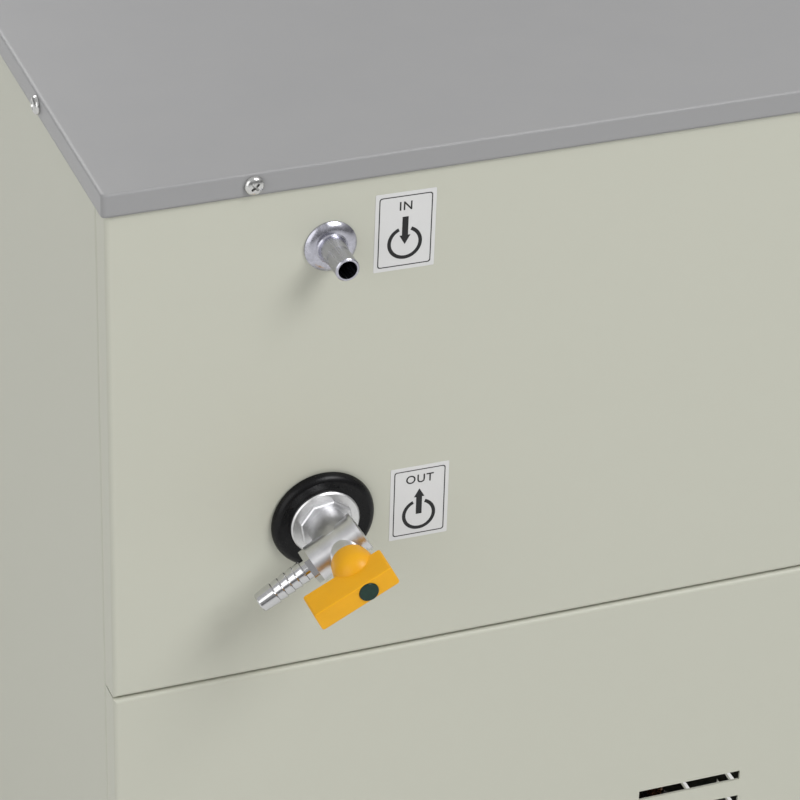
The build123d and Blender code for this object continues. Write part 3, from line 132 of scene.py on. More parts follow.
def arc(centre, radius, first, last, steps=40):
    """Points on an arc, in degrees anticlockwise from the right."""
    angles = [math.radians(first + (last - first) * i / steps) for i in range(steps + 1)]
    return [(centre[0] + radius * math.cos(a), centre[1] + radius * math.sin(a)) for a in angles]


def circle(radius, steps=32):
    """Points on a full circle about the drawing's origin."""
    return arc((0, 0), radius, 0, 360, steps)[:-1]


def bar(half, low, high):
    """Outline of an upright bar, from its half width and its two ends."""
    return [(-half, low), (half, low), (half, high), (-half, high)]


def turned(points, angle):
    """Points turned about the drawing's origin, in degrees."""
    c, s = math.cos(math.radians(angle)), math.sin(math.radians(angle))
    return [(x * c - y * s, x * s + y * c) for x, y in points]


def ring_points(mesh, radius, height, segments):
    """A ring of points round the local Z axis."""
    angles = [2 * math.pi * i / segments for i in range(segments)]
    return [mesh.verts.new((radius * math.cos(a), radius * math.sin(a), height)) for a in angles]


def lathe(mesh, profile, segments=48):
    """A closed body turned about the local Z axis; the profile starts and ends on the axis."""
    first = mesh.verts.new((0, 0, profile[0][1]))
    last = mesh.verts.new((0, 0, profile[-1][1]))
    rings = [ring_points(mesh, radius, height, segments) for radius, height in profile[1:-1]]
    for i in range(segments):
        j = (i + 1) % segments
        mesh.faces.new((first, rings[0][j], rings[0][i]))
        mesh.faces.new((last, rings[-1][i], rings[-1][j]))
        for low, high in zip(rings, rings[1:]):
            mesh.faces.new((low[i], low[j], high[j], high[i]))


def collar(mesh, profile, segments=64):
    """A closed ring turned about the local Z axis; the profile is a loop clear of the axis."""
    rings = [ring_points(mesh, radius, height, segments) for radius, height in profile]
    for k, low in enumerate(rings):
        high = rings[(k + 1) % len(rings)]
        for i in range(segments):
            j = (i + 1) % segments
            mesh.faces.new((low[i], low[j], high[j], high[i]))


def lay_on(data, node, centre, outward):
    """Moves a mark's points along its outward direction so that it follows a node's face."""
    inverse = node.matrix_world.inverted()
    clear = 3 * MM
    for vertex in data.vertices:
        height = (vertex.co - centre).dot(outward)
        start = inverse @ (vertex.co + clear * outward)
        found, place, _, _ = node.ray_cast(start, inverse.to_3x3() @ -outward)
        if found:
            vertex.co = node.matrix_world @ place + height * outward


def finished_mesh(name, mesh, place, smooth_angle=0.0):
    """The drawing as a mesh in the row frame, with its faces pointing outwards."""
    bmesh.ops.remove_doubles(mesh, verts=mesh.verts, dist=1e-5)
    bmesh.ops.recalc_face_normals(mesh, faces=mesh.faces)
    bmesh.ops.transform(mesh, matrix=place, verts=mesh.verts)
    data = bpy.data.meshes.new(name)
    mesh.to_mesh(data)
    mesh.free()
    if smooth_angle:
        data.shade_smooth()
        data.set_sharp_from_angle(angle=math.radians(smooth_angle))
    return data


def put(name, data, material, body):
    """A finished piece that rides on a body of the frame."""
    piece = bpy.data.objects.new(name, data)
    bpy.context.scene.collection.objects.link(piece)
    data.materials.clear()
    data.materials.append(material)
    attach(piece, body)
    return piece


def word_points(mesh, word, height, centre, low, high):
    """Adds a short word to a drawing, as closed letters."""
    size_share, spacing, weight = 1.42, 1.12, 0.015
    curve = bpy.data.curves.new("lettering", "FONT")
    curve.body = word
    curve.size = size_share * height
    curve.align_x = "CENTER"
    curve.space_character = spacing
    curve.extrude = (high - low) / 2
    curve.resolution_u = 6
    curve.offset = weight * height
    holder = bpy.data.objects.new("lettering", curve)
    bpy.context.scene.collection.objects.link(holder)
    bpy.context.view_layer.update()
    data = bpy.data.meshes.new_from_object(holder.evaluated_get(bpy.context.evaluated_depsgraph_get()))
    data.transform(Matrix.Translation((centre[0], centre[1] - height / 2, (low + high) / 2)))
    mesh.from_mesh(data)
    bpy.data.objects.remove(holder)
    bpy.data.curves.remove(curve)
    bpy.data.meshes.remove(data)


# Shader node groups

def start_group(name, inputs, outputs):
    """An empty shader group with named sockets."""
    tree = bpy.data.node_groups.new(name, "ShaderNodeTree")
    for label, kind, value in inputs:
        socket = tree.interface.new_socket(name=label, in_out="INPUT", socket_type=kind)
        if value is not None:
            socket.default_value = value
    for label, kind in outputs:
        tree.interface.new_socket(name=label, in_out="OUTPUT", socket_type=kind)
    return tree, tree.nodes.new("NodeGroupInput"), tree.nodes.new("NodeGroupOutput")


def noise(tree, vector, scale, detail=3.0, rough=0.5):
    """A noise texture fed by a vector, with a number or a socket as its scale."""
    node = tree.nodes.new("ShaderNodeTexNoise")
    node.inputs["Detail"].default_value = detail
    node.inputs["Roughness"].default_value = rough
    tree.links.new(vector, node.inputs["Vector"])
    if isinstance(scale, float):
        node.inputs["Scale"].default_value = scale
    else:
        tree.links.new(scale, node.inputs["Scale"])
    return node.outputs["Fac"]


def remap(tree, value, low, high, to_low=0.0, to_high=1.0):
    """A value moved from one range to another."""
    node = tree.nodes.new("ShaderNodeMapRange")
    node.inputs["From Min"].default_value = low
    node.inputs["From Max"].default_value = high
    for key, target in (("To Min", to_low), ("To Max", to_high)):
        if isinstance(target, float):
            node.inputs[key].default_value = target
        else:
            tree.links.new(target, node.inputs[key])
    tree.links.new(value, node.inputs["Value"])
    return node.outputs["Result"]


def arithmetic(tree, kind, a, b):
    """One maths node with numbers or sockets."""
    node = tree.nodes.new("ShaderNodeMath")
    node.operation = kind
    for index, value in enumerate((a, b)):
        if isinstance(value, (int, float)):
            node.inputs[index].default_value = value
        else:
            tree.links.new(value, node.inputs[index])
    return node.outputs[0]


def mixed(tree, factor, a, b):
    """Two colours mixed by a factor."""
    node = tree.nodes.new("ShaderNodeMix")
    node.data_type = "RGBA"
    tree.links.new(factor, node.inputs["Factor"])
    for index, value in ((6, a), (7, b)):
        if isinstance(value, (tuple, list)):
            node.inputs[index].default_value = value
        else:
            tree.links.new(value, node.inputs[index])
    return node.outputs[2]


def build_skin_group():
    """Uneven surface: slow clouds in the colour, fine grain in the height and the gloss."""
    tree, source, sink = start_group(
        "Uneven skin",
        [("Vector", "NodeSocketVector", None), ("Light Colour", "NodeSocketColor", None),
         ("Deep Colour", "NodeSocketColor", None), ("Cloud Scale", "NodeSocketFloat", 6.0),
         ("Grain Scale", "NodeSocketFloat", 900.0), ("Smooth", "NodeSocketFloat", 0.4),
         ("Rough", "NodeSocketFloat", 0.5)],
        [("Color", "NodeSocketColor"), ("Roughness", "NodeSocketFloat"), ("Height", "NodeSocketFloat")])
    get = source.outputs
    grain_share, colour_range, gloss_range = 0.35, (0.42, 0.93), (0.15, 0.38)
    cloud = noise(tree, get["Vector"], get["Cloud Scale"], detail=3.0)
    grain = noise(tree, get["Vector"], get["Grain Scale"], detail=2.0, rough=0.6)
    uneven = arithmetic(tree, "ADD", cloud, arithmetic(tree, "MULTIPLY", grain, grain_share))
    share = remap(tree, uneven, *colour_range)
    gloss = remap(tree, arithmetic(tree, "MULTIPLY", cloud, grain), *gloss_range,
                  get["Smooth"], get["Rough"])
    tree.links.new(mixed(tree, share, get["Deep Colour"], get["Light Colour"]), sink.inputs["Color"])
    tree.links.new(gloss, sink.inputs["Roughness"])
    tree.links.new(grain, sink.inputs["Height"])
    return tree


def build_drawn_group():
    """Drawn or brushed metal: streaks along one direction."""
    tree, source, sink = start_group(
        "Drawn metal",
        [("Vector", "NodeSocketVector", None), ("Stretch", "NodeSocketVector", (1.0, 1.0, 1.0)),
         ("Light Colour", "NodeSocketColor", None), ("Deep Colour", "NodeSocketColor", None),
         ("Smooth", "NodeSocketFloat", 0.2), ("Rough", "NodeSocketFloat", 0.35)],
        [("Color", "NodeSocketColor"), ("Roughness", "NodeSocketFloat"), ("Height", "NodeSocketFloat")])
    get = source.outputs
    streak_range = (0.3, 0.7)
    stretch = tree.nodes.new("ShaderNodeVectorMath")
    stretch.operation = "MULTIPLY"
    tree.links.new(get["Vector"], stretch.inputs[0])
    tree.links.new(get["Stretch"], stretch.inputs[1])
    streak = noise(tree, stretch.outputs[0], 1.0, detail=4.0, rough=0.65)
    share = remap(tree, streak, *streak_range)
    gloss = remap(tree, streak, *streak_range, get["Smooth"], get["Rough"])
    tree.links.new(mixed(tree, share, get["Deep Colour"], get["Light Colour"]), sink.inputs["Color"])
    tree.links.new(gloss, sink.inputs["Roughness"])
    tree.links.new(streak, sink.inputs["Height"])
    return tree


def build_dust_group():
    """A little settled dust on what faces up, thicker in patches."""
    tree, source, sink = start_group(
        "Settled dust",
        [("Vector", "NodeSocketVector", None), ("Color", "NodeSocketColor", None),
         ("Dust Colour", "NodeSocketColor", None), ("Amount", "NodeSocketFloat", 0.2)],
        [("Color", "NodeSocketColor"), ("Mask", "NodeSocketFloat")])
    get = source.outputs
    patch_scale, upward_range = 35.0, (0.3, 1.0)
    geometry = tree.nodes.new("ShaderNodeNewGeometry")
    split = tree.nodes.new("ShaderNodeSeparateXYZ")
    tree.links.new(geometry.outputs["Normal"], split.inputs[0])
    patches = noise(tree, get["Vector"], patch_scale, detail=5.0, rough=0.7)
    up = remap(tree, split.outputs[2], *upward_range)
    mask = arithmetic(tree, "MULTIPLY", arithmetic(tree, "MULTIPLY", up, patches), get["Amount"])
    tree.links.new(mixed(tree, mask, get["Color"], get["Dust Colour"]), sink.inputs["Color"])
    tree.links.new(mask, sink.inputs["Mask"])
    return tree


SKIN = build_skin_group()
DRAWN = build_drawn_group()
DUST = build_dust_group()


# Materials

DUST_COLOUR = (0.62, 0.60, 0.55, 1)


def shade(colour, factor):
    """A colour made lighter or darker."""
    return tuple(min(1.0, c * factor) for c in colour[:3]) + (1.0,)


def start_material(name, metallic, slots=None):
    """A material with its shader, output and object coordinates."""
    material = bpy.data.materials.new(name)
    material.use_nodes = True
    tree = material.node_tree
    shader = tree.nodes["Principled BSDF"]
    shader.inputs["Metallic"].default_value = metallic
    for key, value in (slots or {}).items():
        shader.inputs[key].default_value = value
    return material, tree, shader, tree.nodes.new("ShaderNodeTexCoord").outputs["Object"]


def place_group(tree, group, vector, values):
    """One use of a shared effect, with its own values."""
    node = tree.nodes.new("ShaderNodeGroup")
    node.node_tree = group
    tree.links.new(vector, node.inputs["Vector"])
    for key, value in values.items():
        node.inputs[key].default_value = value
    return node


def raise_bump(tree, shader, height, strength, distance, bend=0.0):
    """Grain as a bump, its depth in metres, over edges softened to a bend's radius."""
    bump = tree.nodes.new("ShaderNodeBump")
    if bend:
        softened = tree.nodes.new("ShaderNodeBevel")
        softened.samples = 6
        softened.inputs["Radius"].default_value = bend
        tree.links.new(softened.outputs["Normal"], bump.inputs["Normal"])
    bump.inputs["Strength"].default_value = strength
    bump.inputs["Distance"].default_value = distance
    tree.links.new(height, bump.inputs["Height"])
    tree.links.new(bump.outputs["Normal"], shader.inputs["Normal"])


def skin(name, colour, smooth, rough, grain=900.0, cloud=6.0, variety=0.04, depth=3e-5, strength=0.25,
         metallic=0.0, dust=0.0, bend=0.0, slots=None):
    """Paint, plastic, rubber or cast metal, with clouds, grain and if wanted dust."""
    material, tree, shader, vector = start_material(name, metallic, slots)
    base = place_group(tree, SKIN, vector, {
        "Light Colour": shade(colour, 1 + variety), "Deep Colour": shade(colour, 1 - variety),
        "Cloud Scale": cloud, "Grain Scale": grain, "Smooth": smooth, "Rough": rough})
    last = base.outputs["Color"]
    if dust:
        settled = place_group(tree, DUST, vector, {"Dust Colour": DUST_COLOUR, "Amount": dust})
        tree.links.new(last, settled.inputs["Color"])
        last = settled.outputs["Color"]
    tree.links.new(last, shader.inputs["Base Color"])
    tree.links.new(base.outputs["Roughness"], shader.inputs["Roughness"])
    raise_bump(tree, shader, base.outputs["Height"], strength, depth, bend)
    return material


def drawn(name, colour, smooth, rough, stretch, variety=0.08, depth=8e-6, strength=0.2, slots=None):
    """Bare metal with fine streaks along its length or round its axis."""
    material, tree, shader, vector = start_material(name, 1.0, slots)
    base = place_group(tree, DRAWN, vector, {
        "Stretch": stretch, "Light Colour": shade(colour, 1 + variety),
        "Deep Colour": shade(colour, 1 - variety), "Smooth": smooth, "Rough": rough})
    tree.links.new(base.outputs["Color"], shader.inputs["Base Color"])
    tree.links.new(base.outputs["Roughness"], shader.inputs["Roughness"])
    raise_bump(tree, shader, base.outputs["Height"], strength, depth)
    return material


def glowing(name, colour, strength):
    """Lit display segments, a little uneven along their length."""
    material, tree, shader, vector = start_material(name, 0.0, {"Roughness": 0.4})
    base = place_group(tree, SKIN, vector, {
        "Light Colour": shade(colour, 1.1), "Deep Colour": shade(colour, 0.75),
        "Cloud Scale": 220.0, "Grain Scale": 1500.0, "Smooth": 0.35, "Rough": 0.5})
    tree.links.new(base.outputs["Color"], shader.inputs["Base Color"])
    tree.links.new(base.outputs["Color"], shader.inputs["Emission Color"])
    shader.inputs["Emission Strength"].default_value = strength
    tree.links.new(base.outputs["Roughness"], shader.inputs["Roughness"])
    return material


def dress(material, *names):
    """Gives CAD nodes their material."""
    for name in names:
        data = NODES[name].data
        data.materials.clear()
        data.materials.append(material)


# Settings that a user would change

def colour_setting(name, description, default):
    """A colour in a group of settings."""
    return bpy.props.FloatVectorProperty(name=name, description=description, subtype="COLOR", size=3,
                                         min=0, max=1, default=default)


def length_setting(name, description, default):
    """A length in metres in a group of settings."""
    return bpy.props.FloatProperty(name=name, description=description, unit="LENGTH", default=default)


class CabinetSettings(bpy.types.PropertyGroup):
    panel_colour: colour_setting("Panel colour", "Powder coat of the panels", (0.545, 0.549, 0.468))
    cover_colour: colour_setting("Cover colour", "Paint of the top cover and lid", (0.315, 0.315, 0.32))
    pan_colour: colour_setting("Base colour", "Paint of the base pan and the shelf",
                               (0.085, 0.085, 0.09))


class PortSettings(bpy.types.PropertyGroup):
    lever_colour: colour_setting("Lever colour", "Moulded lever of the supply valve",
                                 (0.83, 0.405, 0.010))
    cap_colour: colour_setting("Cap colour", "Round cap over the lever screw", (0.004, 0.030, 0.020))
    steel_colour: colour_setting("Steel colour", "Polished return nozzle", (0.515, 0.515, 0.58))
    hub_radius: length_setting("Hub radius", "Widest radius of the lever's hub", 0.0092)
    hub_middle: length_setting("Hub middle", "Distance of the hub's widest ring from the panel", 0.0417)


class LabelSettings(bpy.types.PropertyGroup):
    width: length_setting("Width", "Width of a port label", 0.0259)
    height: length_setting("Height", "Height of a port label", 0.0352)
    frame_width: length_setting("Frame width", "Width of the printed frame", 0.0223)
    frame_height: length_setting("Frame height", "Height of the printed frame", 0.0314)
    frame_line: length_setting("Frame line", "Line width of the printed frame", 0.00042)
    ring_radius: length_setting("Ring radius", "Middle of the broken ring's stroke", 0.00665)
    ring_line: length_setting("Ring line", "Stroke of the broken ring", 0.00155)
    paper_colour: colour_setting("Paper colour", "White of the labels", (0.68, 0.68, 0.675))


class ScrewSettings(bpy.types.PropertyGroup):
    head_radius: length_setting("Head radius", "Radius of a cover screw's head", 0.0041)
    head_height: length_setting("Head height", "Height of a cover screw's head", 0.0024)
    recess_width: length_setting("Recess width", "Wing width of the cross recess", 0.0013)


class ControlSettings(bpy.types.PropertyGroup):
    digit_height: length_setting("Digit height", "Height of the display's digits", 0.017)
    reading: bpy.props.StringProperty(
        name="Reading", description="Digits and point that the display shows", default="15.0")
    glow_colour: colour_setting("Digit colour", "Light of the digits", (1.0, 0.06, 0.02))


class StageSettings(bpy.types.PropertyGroup):
    floor_size: length_setting("Floor size", "Side of the floor", 12.0)
    key_power: bpy.props.FloatProperty(
        name="Key lamp", description="Strength of the main soft lamp", subtype="POWER", default=48.0)
    world_level: bpy.props.FloatProperty(
        name="World level", description="Strength of the room's light", default=0.54)


# Operators

class CHILLER_OT_cabinet(bpy.types.Operator):
    """Finish the panels, the cover, the lid, the base and the feet"""
    bl_idname = "chiller.cabinet"
    bl_label = "Cabinet finish"

    def execute(self, context):
        settings = context.scene.chiller_cabinet
        panel = skin("panel_powder_coat", tuple(settings.panel_colour), 0.42, 0.52, grain=1400.0,
                     cloud=3.0, variety=0.012, depth=1.2e-5, strength=0.2, dust=0.05)
        dress(panel, "rear_upper_panel", "rear_lower_panel", "front_upper_panel", "front_lower_panel",
              "left_side_panel", "right_side_panel")
        cover = skin("cover_paint", tuple(settings.cover_colour), 0.28, 0.38, grain=1500.0, cloud=4.0,
                     variety=0.02, depth=1e-5, strength=0.18, dust=0.08, bend=0.0018)
        dress(cover, "top_cover", "bath_lid")
        pan = skin("base_paint", tuple(settings.pan_colour), 0.5, 0.65, grain=1100.0, variety=0.08,
                   depth=2e-5, dust=0.25)
        dress(pan, "base_pan", "bath_shelf", "fan_frame")
        feet = skin("foot_rubber", (0.018, 0.018, 0.018), 0.65, 0.85, grain=1600.0, cloud=40.0,
                    variety=0.25, dust=0.3)
        dress(feet, "rubber_feet", "compressor_mounts")
        return {"FINISHED"}


class CHILLER_OT_ports(bpy.types.Operator):
    """Finish the return nozzle, the rubber bush and the supply valve"""
    bl_idname = "chiller.ports"
    bl_label = "Ports and valve finish"

    def execute(self, context):
        settings = context.scene.chiller_ports
        steel = drawn("polished_steel", tuple(settings.steel_colour), 0.16, 0.3, (700, 30, 700),
                      variety=0.16, depth=5e-6)
        dress(steel, "inlet_nozzle")
        bush = skin("bush_rubber", (0.0035, 0.0035, 0.004), 0.25, 0.36, grain=1800.0, cloud=60.0,
                    variety=0.2, depth=8e-6, strength=0.12, slots={"Specular IOR Level": 0.22})
        dress(bush, "outlet_grommet")
        washer = drawn("washer_plate", (0.72, 0.72, 0.72), 0.3, 0.4, (900, 900, 900), variety=0.06)
        dress(washer, "outlet_washer", "inlet_nut", "shank_nut", "lever_screw")
        cast = skin("nickel_cast", (0.72, 0.72, 0.735), 0.3, 0.4, grain=900.0, cloud=180.0,
                    variety=0.07, depth=2e-5, strength=0.2, metallic=1.0)
        dress(cast, "valve_body")
        chrome = drawn("plated_barbs", (0.64, 0.64, 0.65), 0.08, 0.18, (900, 900, 900), variety=0.03,
                       depth=2e-6)
        dress(chrome, "hose_tail")
        inner = drawn("turned_steel", (0.60, 0.60, 0.60), 0.1, 0.2, (2000, 2000, 2000), variety=0.04)
        dress(inner, "valve_ball", "valve_stem", "pump_spacers")
        lever = skin("lever_nylon", tuple(settings.lever_colour), 0.34, 0.46, grain=1300.0, cloud=90.0,
                     variety=0.04, depth=1.5e-5, strength=0.2,
                     slots={"Subsurface Weight": 0.06, "Subsurface Radius": (0.004, 0.002, 0.0005),
                            "Specular IOR Level": 0.3})
        dress(lever, "valve_lever")
        self.lever_hub(settings, lever)
        cap = skin("cap_gloss", tuple(settings.cap_colour), 0.12, 0.22, grain=800.0, cloud=200.0,
                   variety=0.25, depth=5e-6, strength=0.1,
                   slots={"Coat Weight": 0.15, "Specular IOR Level": 0.3})
        dress(cap, "lever_cap")
        seat = skin("white_seal", (0.80, 0.79, 0.76), 0.45, 0.6, grain=1500.0, variety=0.03)
        dress(seat, "ball_seat")
        return {"FINISHED"}

    def lever_hub(self, settings, finish):
        """The hub's swollen shoulder, round the CAD lever's plainer dome and on its axis."""
        low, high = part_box("lever_cap")
        swell, middle = settings.hub_radius / MM, settings.hub_middle / MM
        foot, rise, waist, flare, crown = 34.1, 8.0, 1.2, 1.8, 70
        parts = [step / 8 for step in range(8)]
        angles = [math.radians(crown * step / 9) for step in range(10)]
        flank = [(swell - waist * (1 - part) ** flare, foot + part * (middle - foot)) for part in parts]
        dome = [(swell * math.cos(angle), middle + rise * math.sin(angle)) for angle in angles]
        inside = [(dome[-1][0], middle + 0.7 * rise), (0.6 * swell, middle + 0.2 * rise),
                  (0.8 * swell, foot)]
        drawing = bmesh.new()
        collar(drawing, flank + dome + inside)
        place = on_wall(REAR, ((low.x + high.x) / 2, REAR_Y, (low.z + high.z) / 2))
        put("lever_hub", finished_mesh("lever_hub", drawing, place, 40), finish, "lever")


class CHILLER_OT_inside(bpy.types.Operator):
    """Finish the bath, the pump and the refrigeration parts"""
    bl_idname = "chiller.inside"
    bl_label = "Bath, pump and refrigeration finish"

    def execute(self, context):
        tank = drawn("tank_steel", (0.58, 0.58, 0.57), 0.18, 0.32, (60, 60, 1400), variety=0.06)
        dress(tank, "bath_tank")
        foam = skin("tank_foam", (0.66, 0.55, 0.28), 0.85, 0.95, grain=420.0, cloud=30.0, variety=0.1,
                    depth=4e-4, strength=0.5)
        dress(foam, "bath_insulation")
        copper = drawn("drawn_copper", (0.86, 0.42, 0.26), 0.18, 0.34, (700, 700, 700), variety=0.1)
        dress(copper, "cooling_coil", "suction_line", "discharge_line", "liquid_line", "feed_line",
              "filter_drier")
        hose = skin("black_hose", (0.02, 0.02, 0.021), 0.5, 0.68, grain=1600.0, cloud=50.0, variety=0.2)
        dress(hose, "suction_hose", "outlet_hose", "return_tube")
        enamel = skin("black_enamel", (0.016, 0.016, 0.017), 0.26, 0.4, grain=700.0, cloud=25.0,
                      variety=0.2, depth=4e-5, strength=0.2, dust=0.25)
        dress(enamel, "compressor", "fan_motor", "pump_motor")
        fins = drawn("fin_aluminium", (0.72, 0.73, 0.74), 0.28, 0.45, (1800, 120, 120), variety=0.08)
        dress(fins, "condenser")
        moulded = skin("black_moulding", (0.02, 0.02, 0.021), 0.42, 0.55, grain=1300.0, cloud=40.0,
                       variety=0.15, dust=0.1)
        dress(moulded, "fan_rotor", "pump_casing", "pump_impeller", "power_inlet", "lid_knob",
              "display_bezel", "power_switch_frame", "cooling_switch_frame", "pump_switch_frame")
        board = skin("board_lacquer", (0.012, 0.10, 0.04), 0.25, 0.4, grain=1100.0, cloud=120.0,
                     variety=0.3)
        dress(board, "control_board")
        return {"FINISHED"}


class CHILLER_OT_labels(bpy.types.Operator):
    """Make the two port labels with their words, arrows and broken rings"""
    bl_idname = "chiller.labels"
    bl_label = "Port labels"

    def execute(self, context):
        settings = context.scene.chiller_labels
        paper = skin("label_paper", tuple(settings.paper_colour), 0.3, 0.4, grain=1800.0, cloud=30.0,
                     variety=0.015, depth=6e-6, strength=0.15)
        ink = skin("label_ink", (0.008, 0.008, 0.0085), 0.5, 0.65, grain=2200.0, cloud=120.0,
                   variety=0.25, depth=4e-6, strength=0.1)
        for word, x, z, tilt, ring_drop in PORT_LABELS:
            place = on_wall(REAR, (x * MM, REAR_Y, z * MM)) @ Matrix.Rotation(math.radians(tilt), 4, "Z")
            sticker, corner = bmesh.new(), 0.5
            prism(sticker, rounded(settings.width / MM, settings.height / MM, corner), 0.0, PRINT[0])
            put("label_" + word.lower(), finished_mesh("label", sticker, place), paper, "cabinet")
            drawing = label_print(settings, word, ring_drop)
            put("print_" + word.lower(), finished_mesh("print", drawing, place), ink, "cabinet")
        return {"FINISHED"}


class CHILLER_OT_screws(bpy.types.Operator):
    """Make the cover's cross-recess screws on their seats with a node tree"""
    bl_idname = "chiller.screws"
    bl_label = "Cover screws"

    def execute(self, context):
        settings = context.scene.chiller_screws
        turn_step = 0.7
        zinc = drawn("zinc_plate", (0.66, 0.66, 0.65), 0.14, 0.3, (1500, 1500, 1500), variety=0.06)
        pattern = screw_pattern(settings)
        seats, normals = screw_seats()
        data = bpy.data.meshes.new("cover_screw_seats")
        data.from_pydata(seats, [], [])
        facing = data.attributes.new("facing", "FLOAT_VECTOR", "POINT")
        for index, normal in enumerate(normals):
            facing.data[index].vector = normal
        holder = bpy.data.objects.new("cover_screw_seats", data)
        context.scene.collection.objects.link(holder)
        tree = fastener_tree()
        modifier = holder.modifiers.new("fasteners", "NODES")
        modifier.node_group = tree
        keys = {s.name: s.identifier for s in tree.interface.items_tree if s.in_out == "INPUT"}
        modifier[keys["Fastener"]] = pattern
        modifier[keys["Turn Step"]] = turn_step
        modifier[keys["Finish"]] = zinc
        context.view_layer.update()
        result = bpy.data.meshes.new_from_object(
            holder.evaluated_get(context.evaluated_depsgraph_get()))
        holder.modifiers.remove(modifier)
        bpy.data.objects.remove(holder)
        bpy.data.objects.remove(pattern)
        result.name = "cover_screw_heads"
        piece = put("cover_screw_heads", result, zinc, "cabinet")
        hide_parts("cover_screws")
        return {"FINISHED"}


class CHILLER_OT_controls(bpy.types.Operator):
    """Finish the display, the keys and the switches, and make their marks"""
    bl_idname = "chiller.controls"
    bl_label = "Display, keys and switches"

    def execute(self, context):
        settings = context.scene.chiller_controls
        window = skin("tinted_window", (0.012, 0.006, 0.006), 0.05, 0.1, grain=300.0, cloud=20.0,
                      variety=0.2, depth=2e-6, strength=0.05, slots={"Coat Weight": 0.5})
        dress(window, "display_window")
        keys = skin("key_moulding", (0.36, 0.37, 0.38), 0.45, 0.6, grain=1500.0, cloud=60.0,
                    variety=0.04)
        dress(keys, *KEYS)
        rockers = skin("rocker_gloss", (0.014, 0.014, 0.015), 0.18, 0.3, grain=900.0, cloud=60.0,
                       variety=0.2)
        dress(rockers, *ROCKERS)
        marks = skin("white_marks", (0.72, 0.72, 0.70), 0.45, 0.6, grain=1900.0, cloud=80.0,
                     variety=0.04)
        ink = skin("key_ink", (0.02, 0.02, 0.022), 0.45, 0.6, grain=1900.0, cloud=80.0, variety=0.2)
        lit = glowing("lit_segments", tuple(settings.glow_colour), 1.6)
        self.digits(settings, lit)
        self.key_marks(ink)
        self.rocker_marks(marks)
        self.panel_marks(ink)
        return {"FINISHED"}

    def digits(self, settings, lit):
        """The reading in lit, slanted seven-segment digits."""
        low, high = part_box("display_window")
        height = settings.digit_height / MM
        width, gap, thick = 0.52 * height, 0.34 * height, 0.1 * height
        slant, layer = 0.12, (0.02, 0.1)
        drawing = bmesh.new()
        cells = sum(c != "." for c in settings.reading)
        x = -(cells * width + (cells - 1) * gap) / 2
        for c in settings.reading:
            if c == ".":
                point = rounded(thick, thick, 0.3 * thick, 3)
                prism(drawing, [(x - gap / 2 + a, (thick - height) / 2 + b) for a, b in point], *layer)
                continue
            for segment in SEGMENTS[c]:
                prism(drawing, segment_outline(segment, x, width, height, thick), *layer)
            x += width + gap
        shear = Matrix.Identity(4)
        shear[0][1] = slant
        place = on_wall(FRONT, ((low.x + high.x) / 2, low.y, (low.z + high.z) / 2)) @ shear
        put("display_digits", finished_mesh("digits", drawing, place), lit, "cabinet")

    def key_marks(self, ink):
        """A triangle on the down and up keys and a ring on the set key."""
        half, foot, tip, ring = 2.6, 1.5, 2.2, (2.4, 1.7)
        drawings = {"key_down": [(-half, foot), (0, -tip), (half, foot)],
                    "key_up": [(-half, -foot), (half, -foot), (0, tip)]}
        for name in KEYS:
            low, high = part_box(name)
            drawing = bmesh.new()
            if name in drawings:
                prism(drawing, drawings[name], *MARK)
            else:
                band(drawing, circle(ring[0]), circle(ring[1]), *MARK)
            centre = ((low.x + high.x) / 2, low.y, (low.z + high.z) / 2)
            put(name + "_mark", finished_mesh("mark", drawing, on_wall(FRONT, centre)), ink, name)

    def rocker_marks(self, marks):
        """The on bar and the off ring, each laid on its half of a rocker's hollow face."""
        half, crest, dip, tilt = 12.2, 5.2, 1.8, math.radians(9.0)
        reach, hole, stroke, steps = 2.3, 1.5, 0.5, 10
        slope = math.atan2(dip, half)
        across = Vector((1, 0, 0))
        up = Vector((0, -math.sin(tilt), math.cos(tilt)))
        out = Vector((0, -math.cos(tilt), -math.sin(tilt)))
        edge = [(stroke, reach * (2 * step / steps - 1)) for step in range(steps + 1)]
        for name in ROCKERS:
            low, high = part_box(name)
            pivot = Vector(((low.x + high.x) / 2, FRONT_Y + MM, SWITCH_Z))
            for end, sign in (("on", 1), ("off", -1)):
                drawing = bmesh.new()
                if end == "on":
                    prism(drawing, edge + [(-x, y) for x, y in reversed(edge)], *MARK)
                else:
                    band(drawing, circle(reach), circle(hole), *MARK)
                axis_up = (up * math.cos(slope) + sign * out * math.sin(slope)).normalized()
                axis_out = across.cross(axis_up)
                rotation = Matrix((across, axis_up, axis_out)).transposed()
                centre = pivot + (up * sign * half / 2 + out * (crest - dip / 2)) * MM
                data = finished_mesh("mark", drawing, on_wall(rotation, centre))
                lay_on(data, NODES[name], centre, axis_out)
                put(name + "_" + end, data, marks, name)

    def panel_marks(self, ink):
        """A generic sign above each switch: power, cold and flow."""
        for name, draw in zip(ROCKERS, (power_sign, cold_sign, flow_sign)):
            low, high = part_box(name)
            drawing = bmesh.new()
            draw(drawing)
            place = on_wall(FRONT, ((low.x + high.x) / 2, FRONT_Y, SIGN_Z))
            put(name + "_sign", finished_mesh("sign", drawing, place), ink, "cabinet")


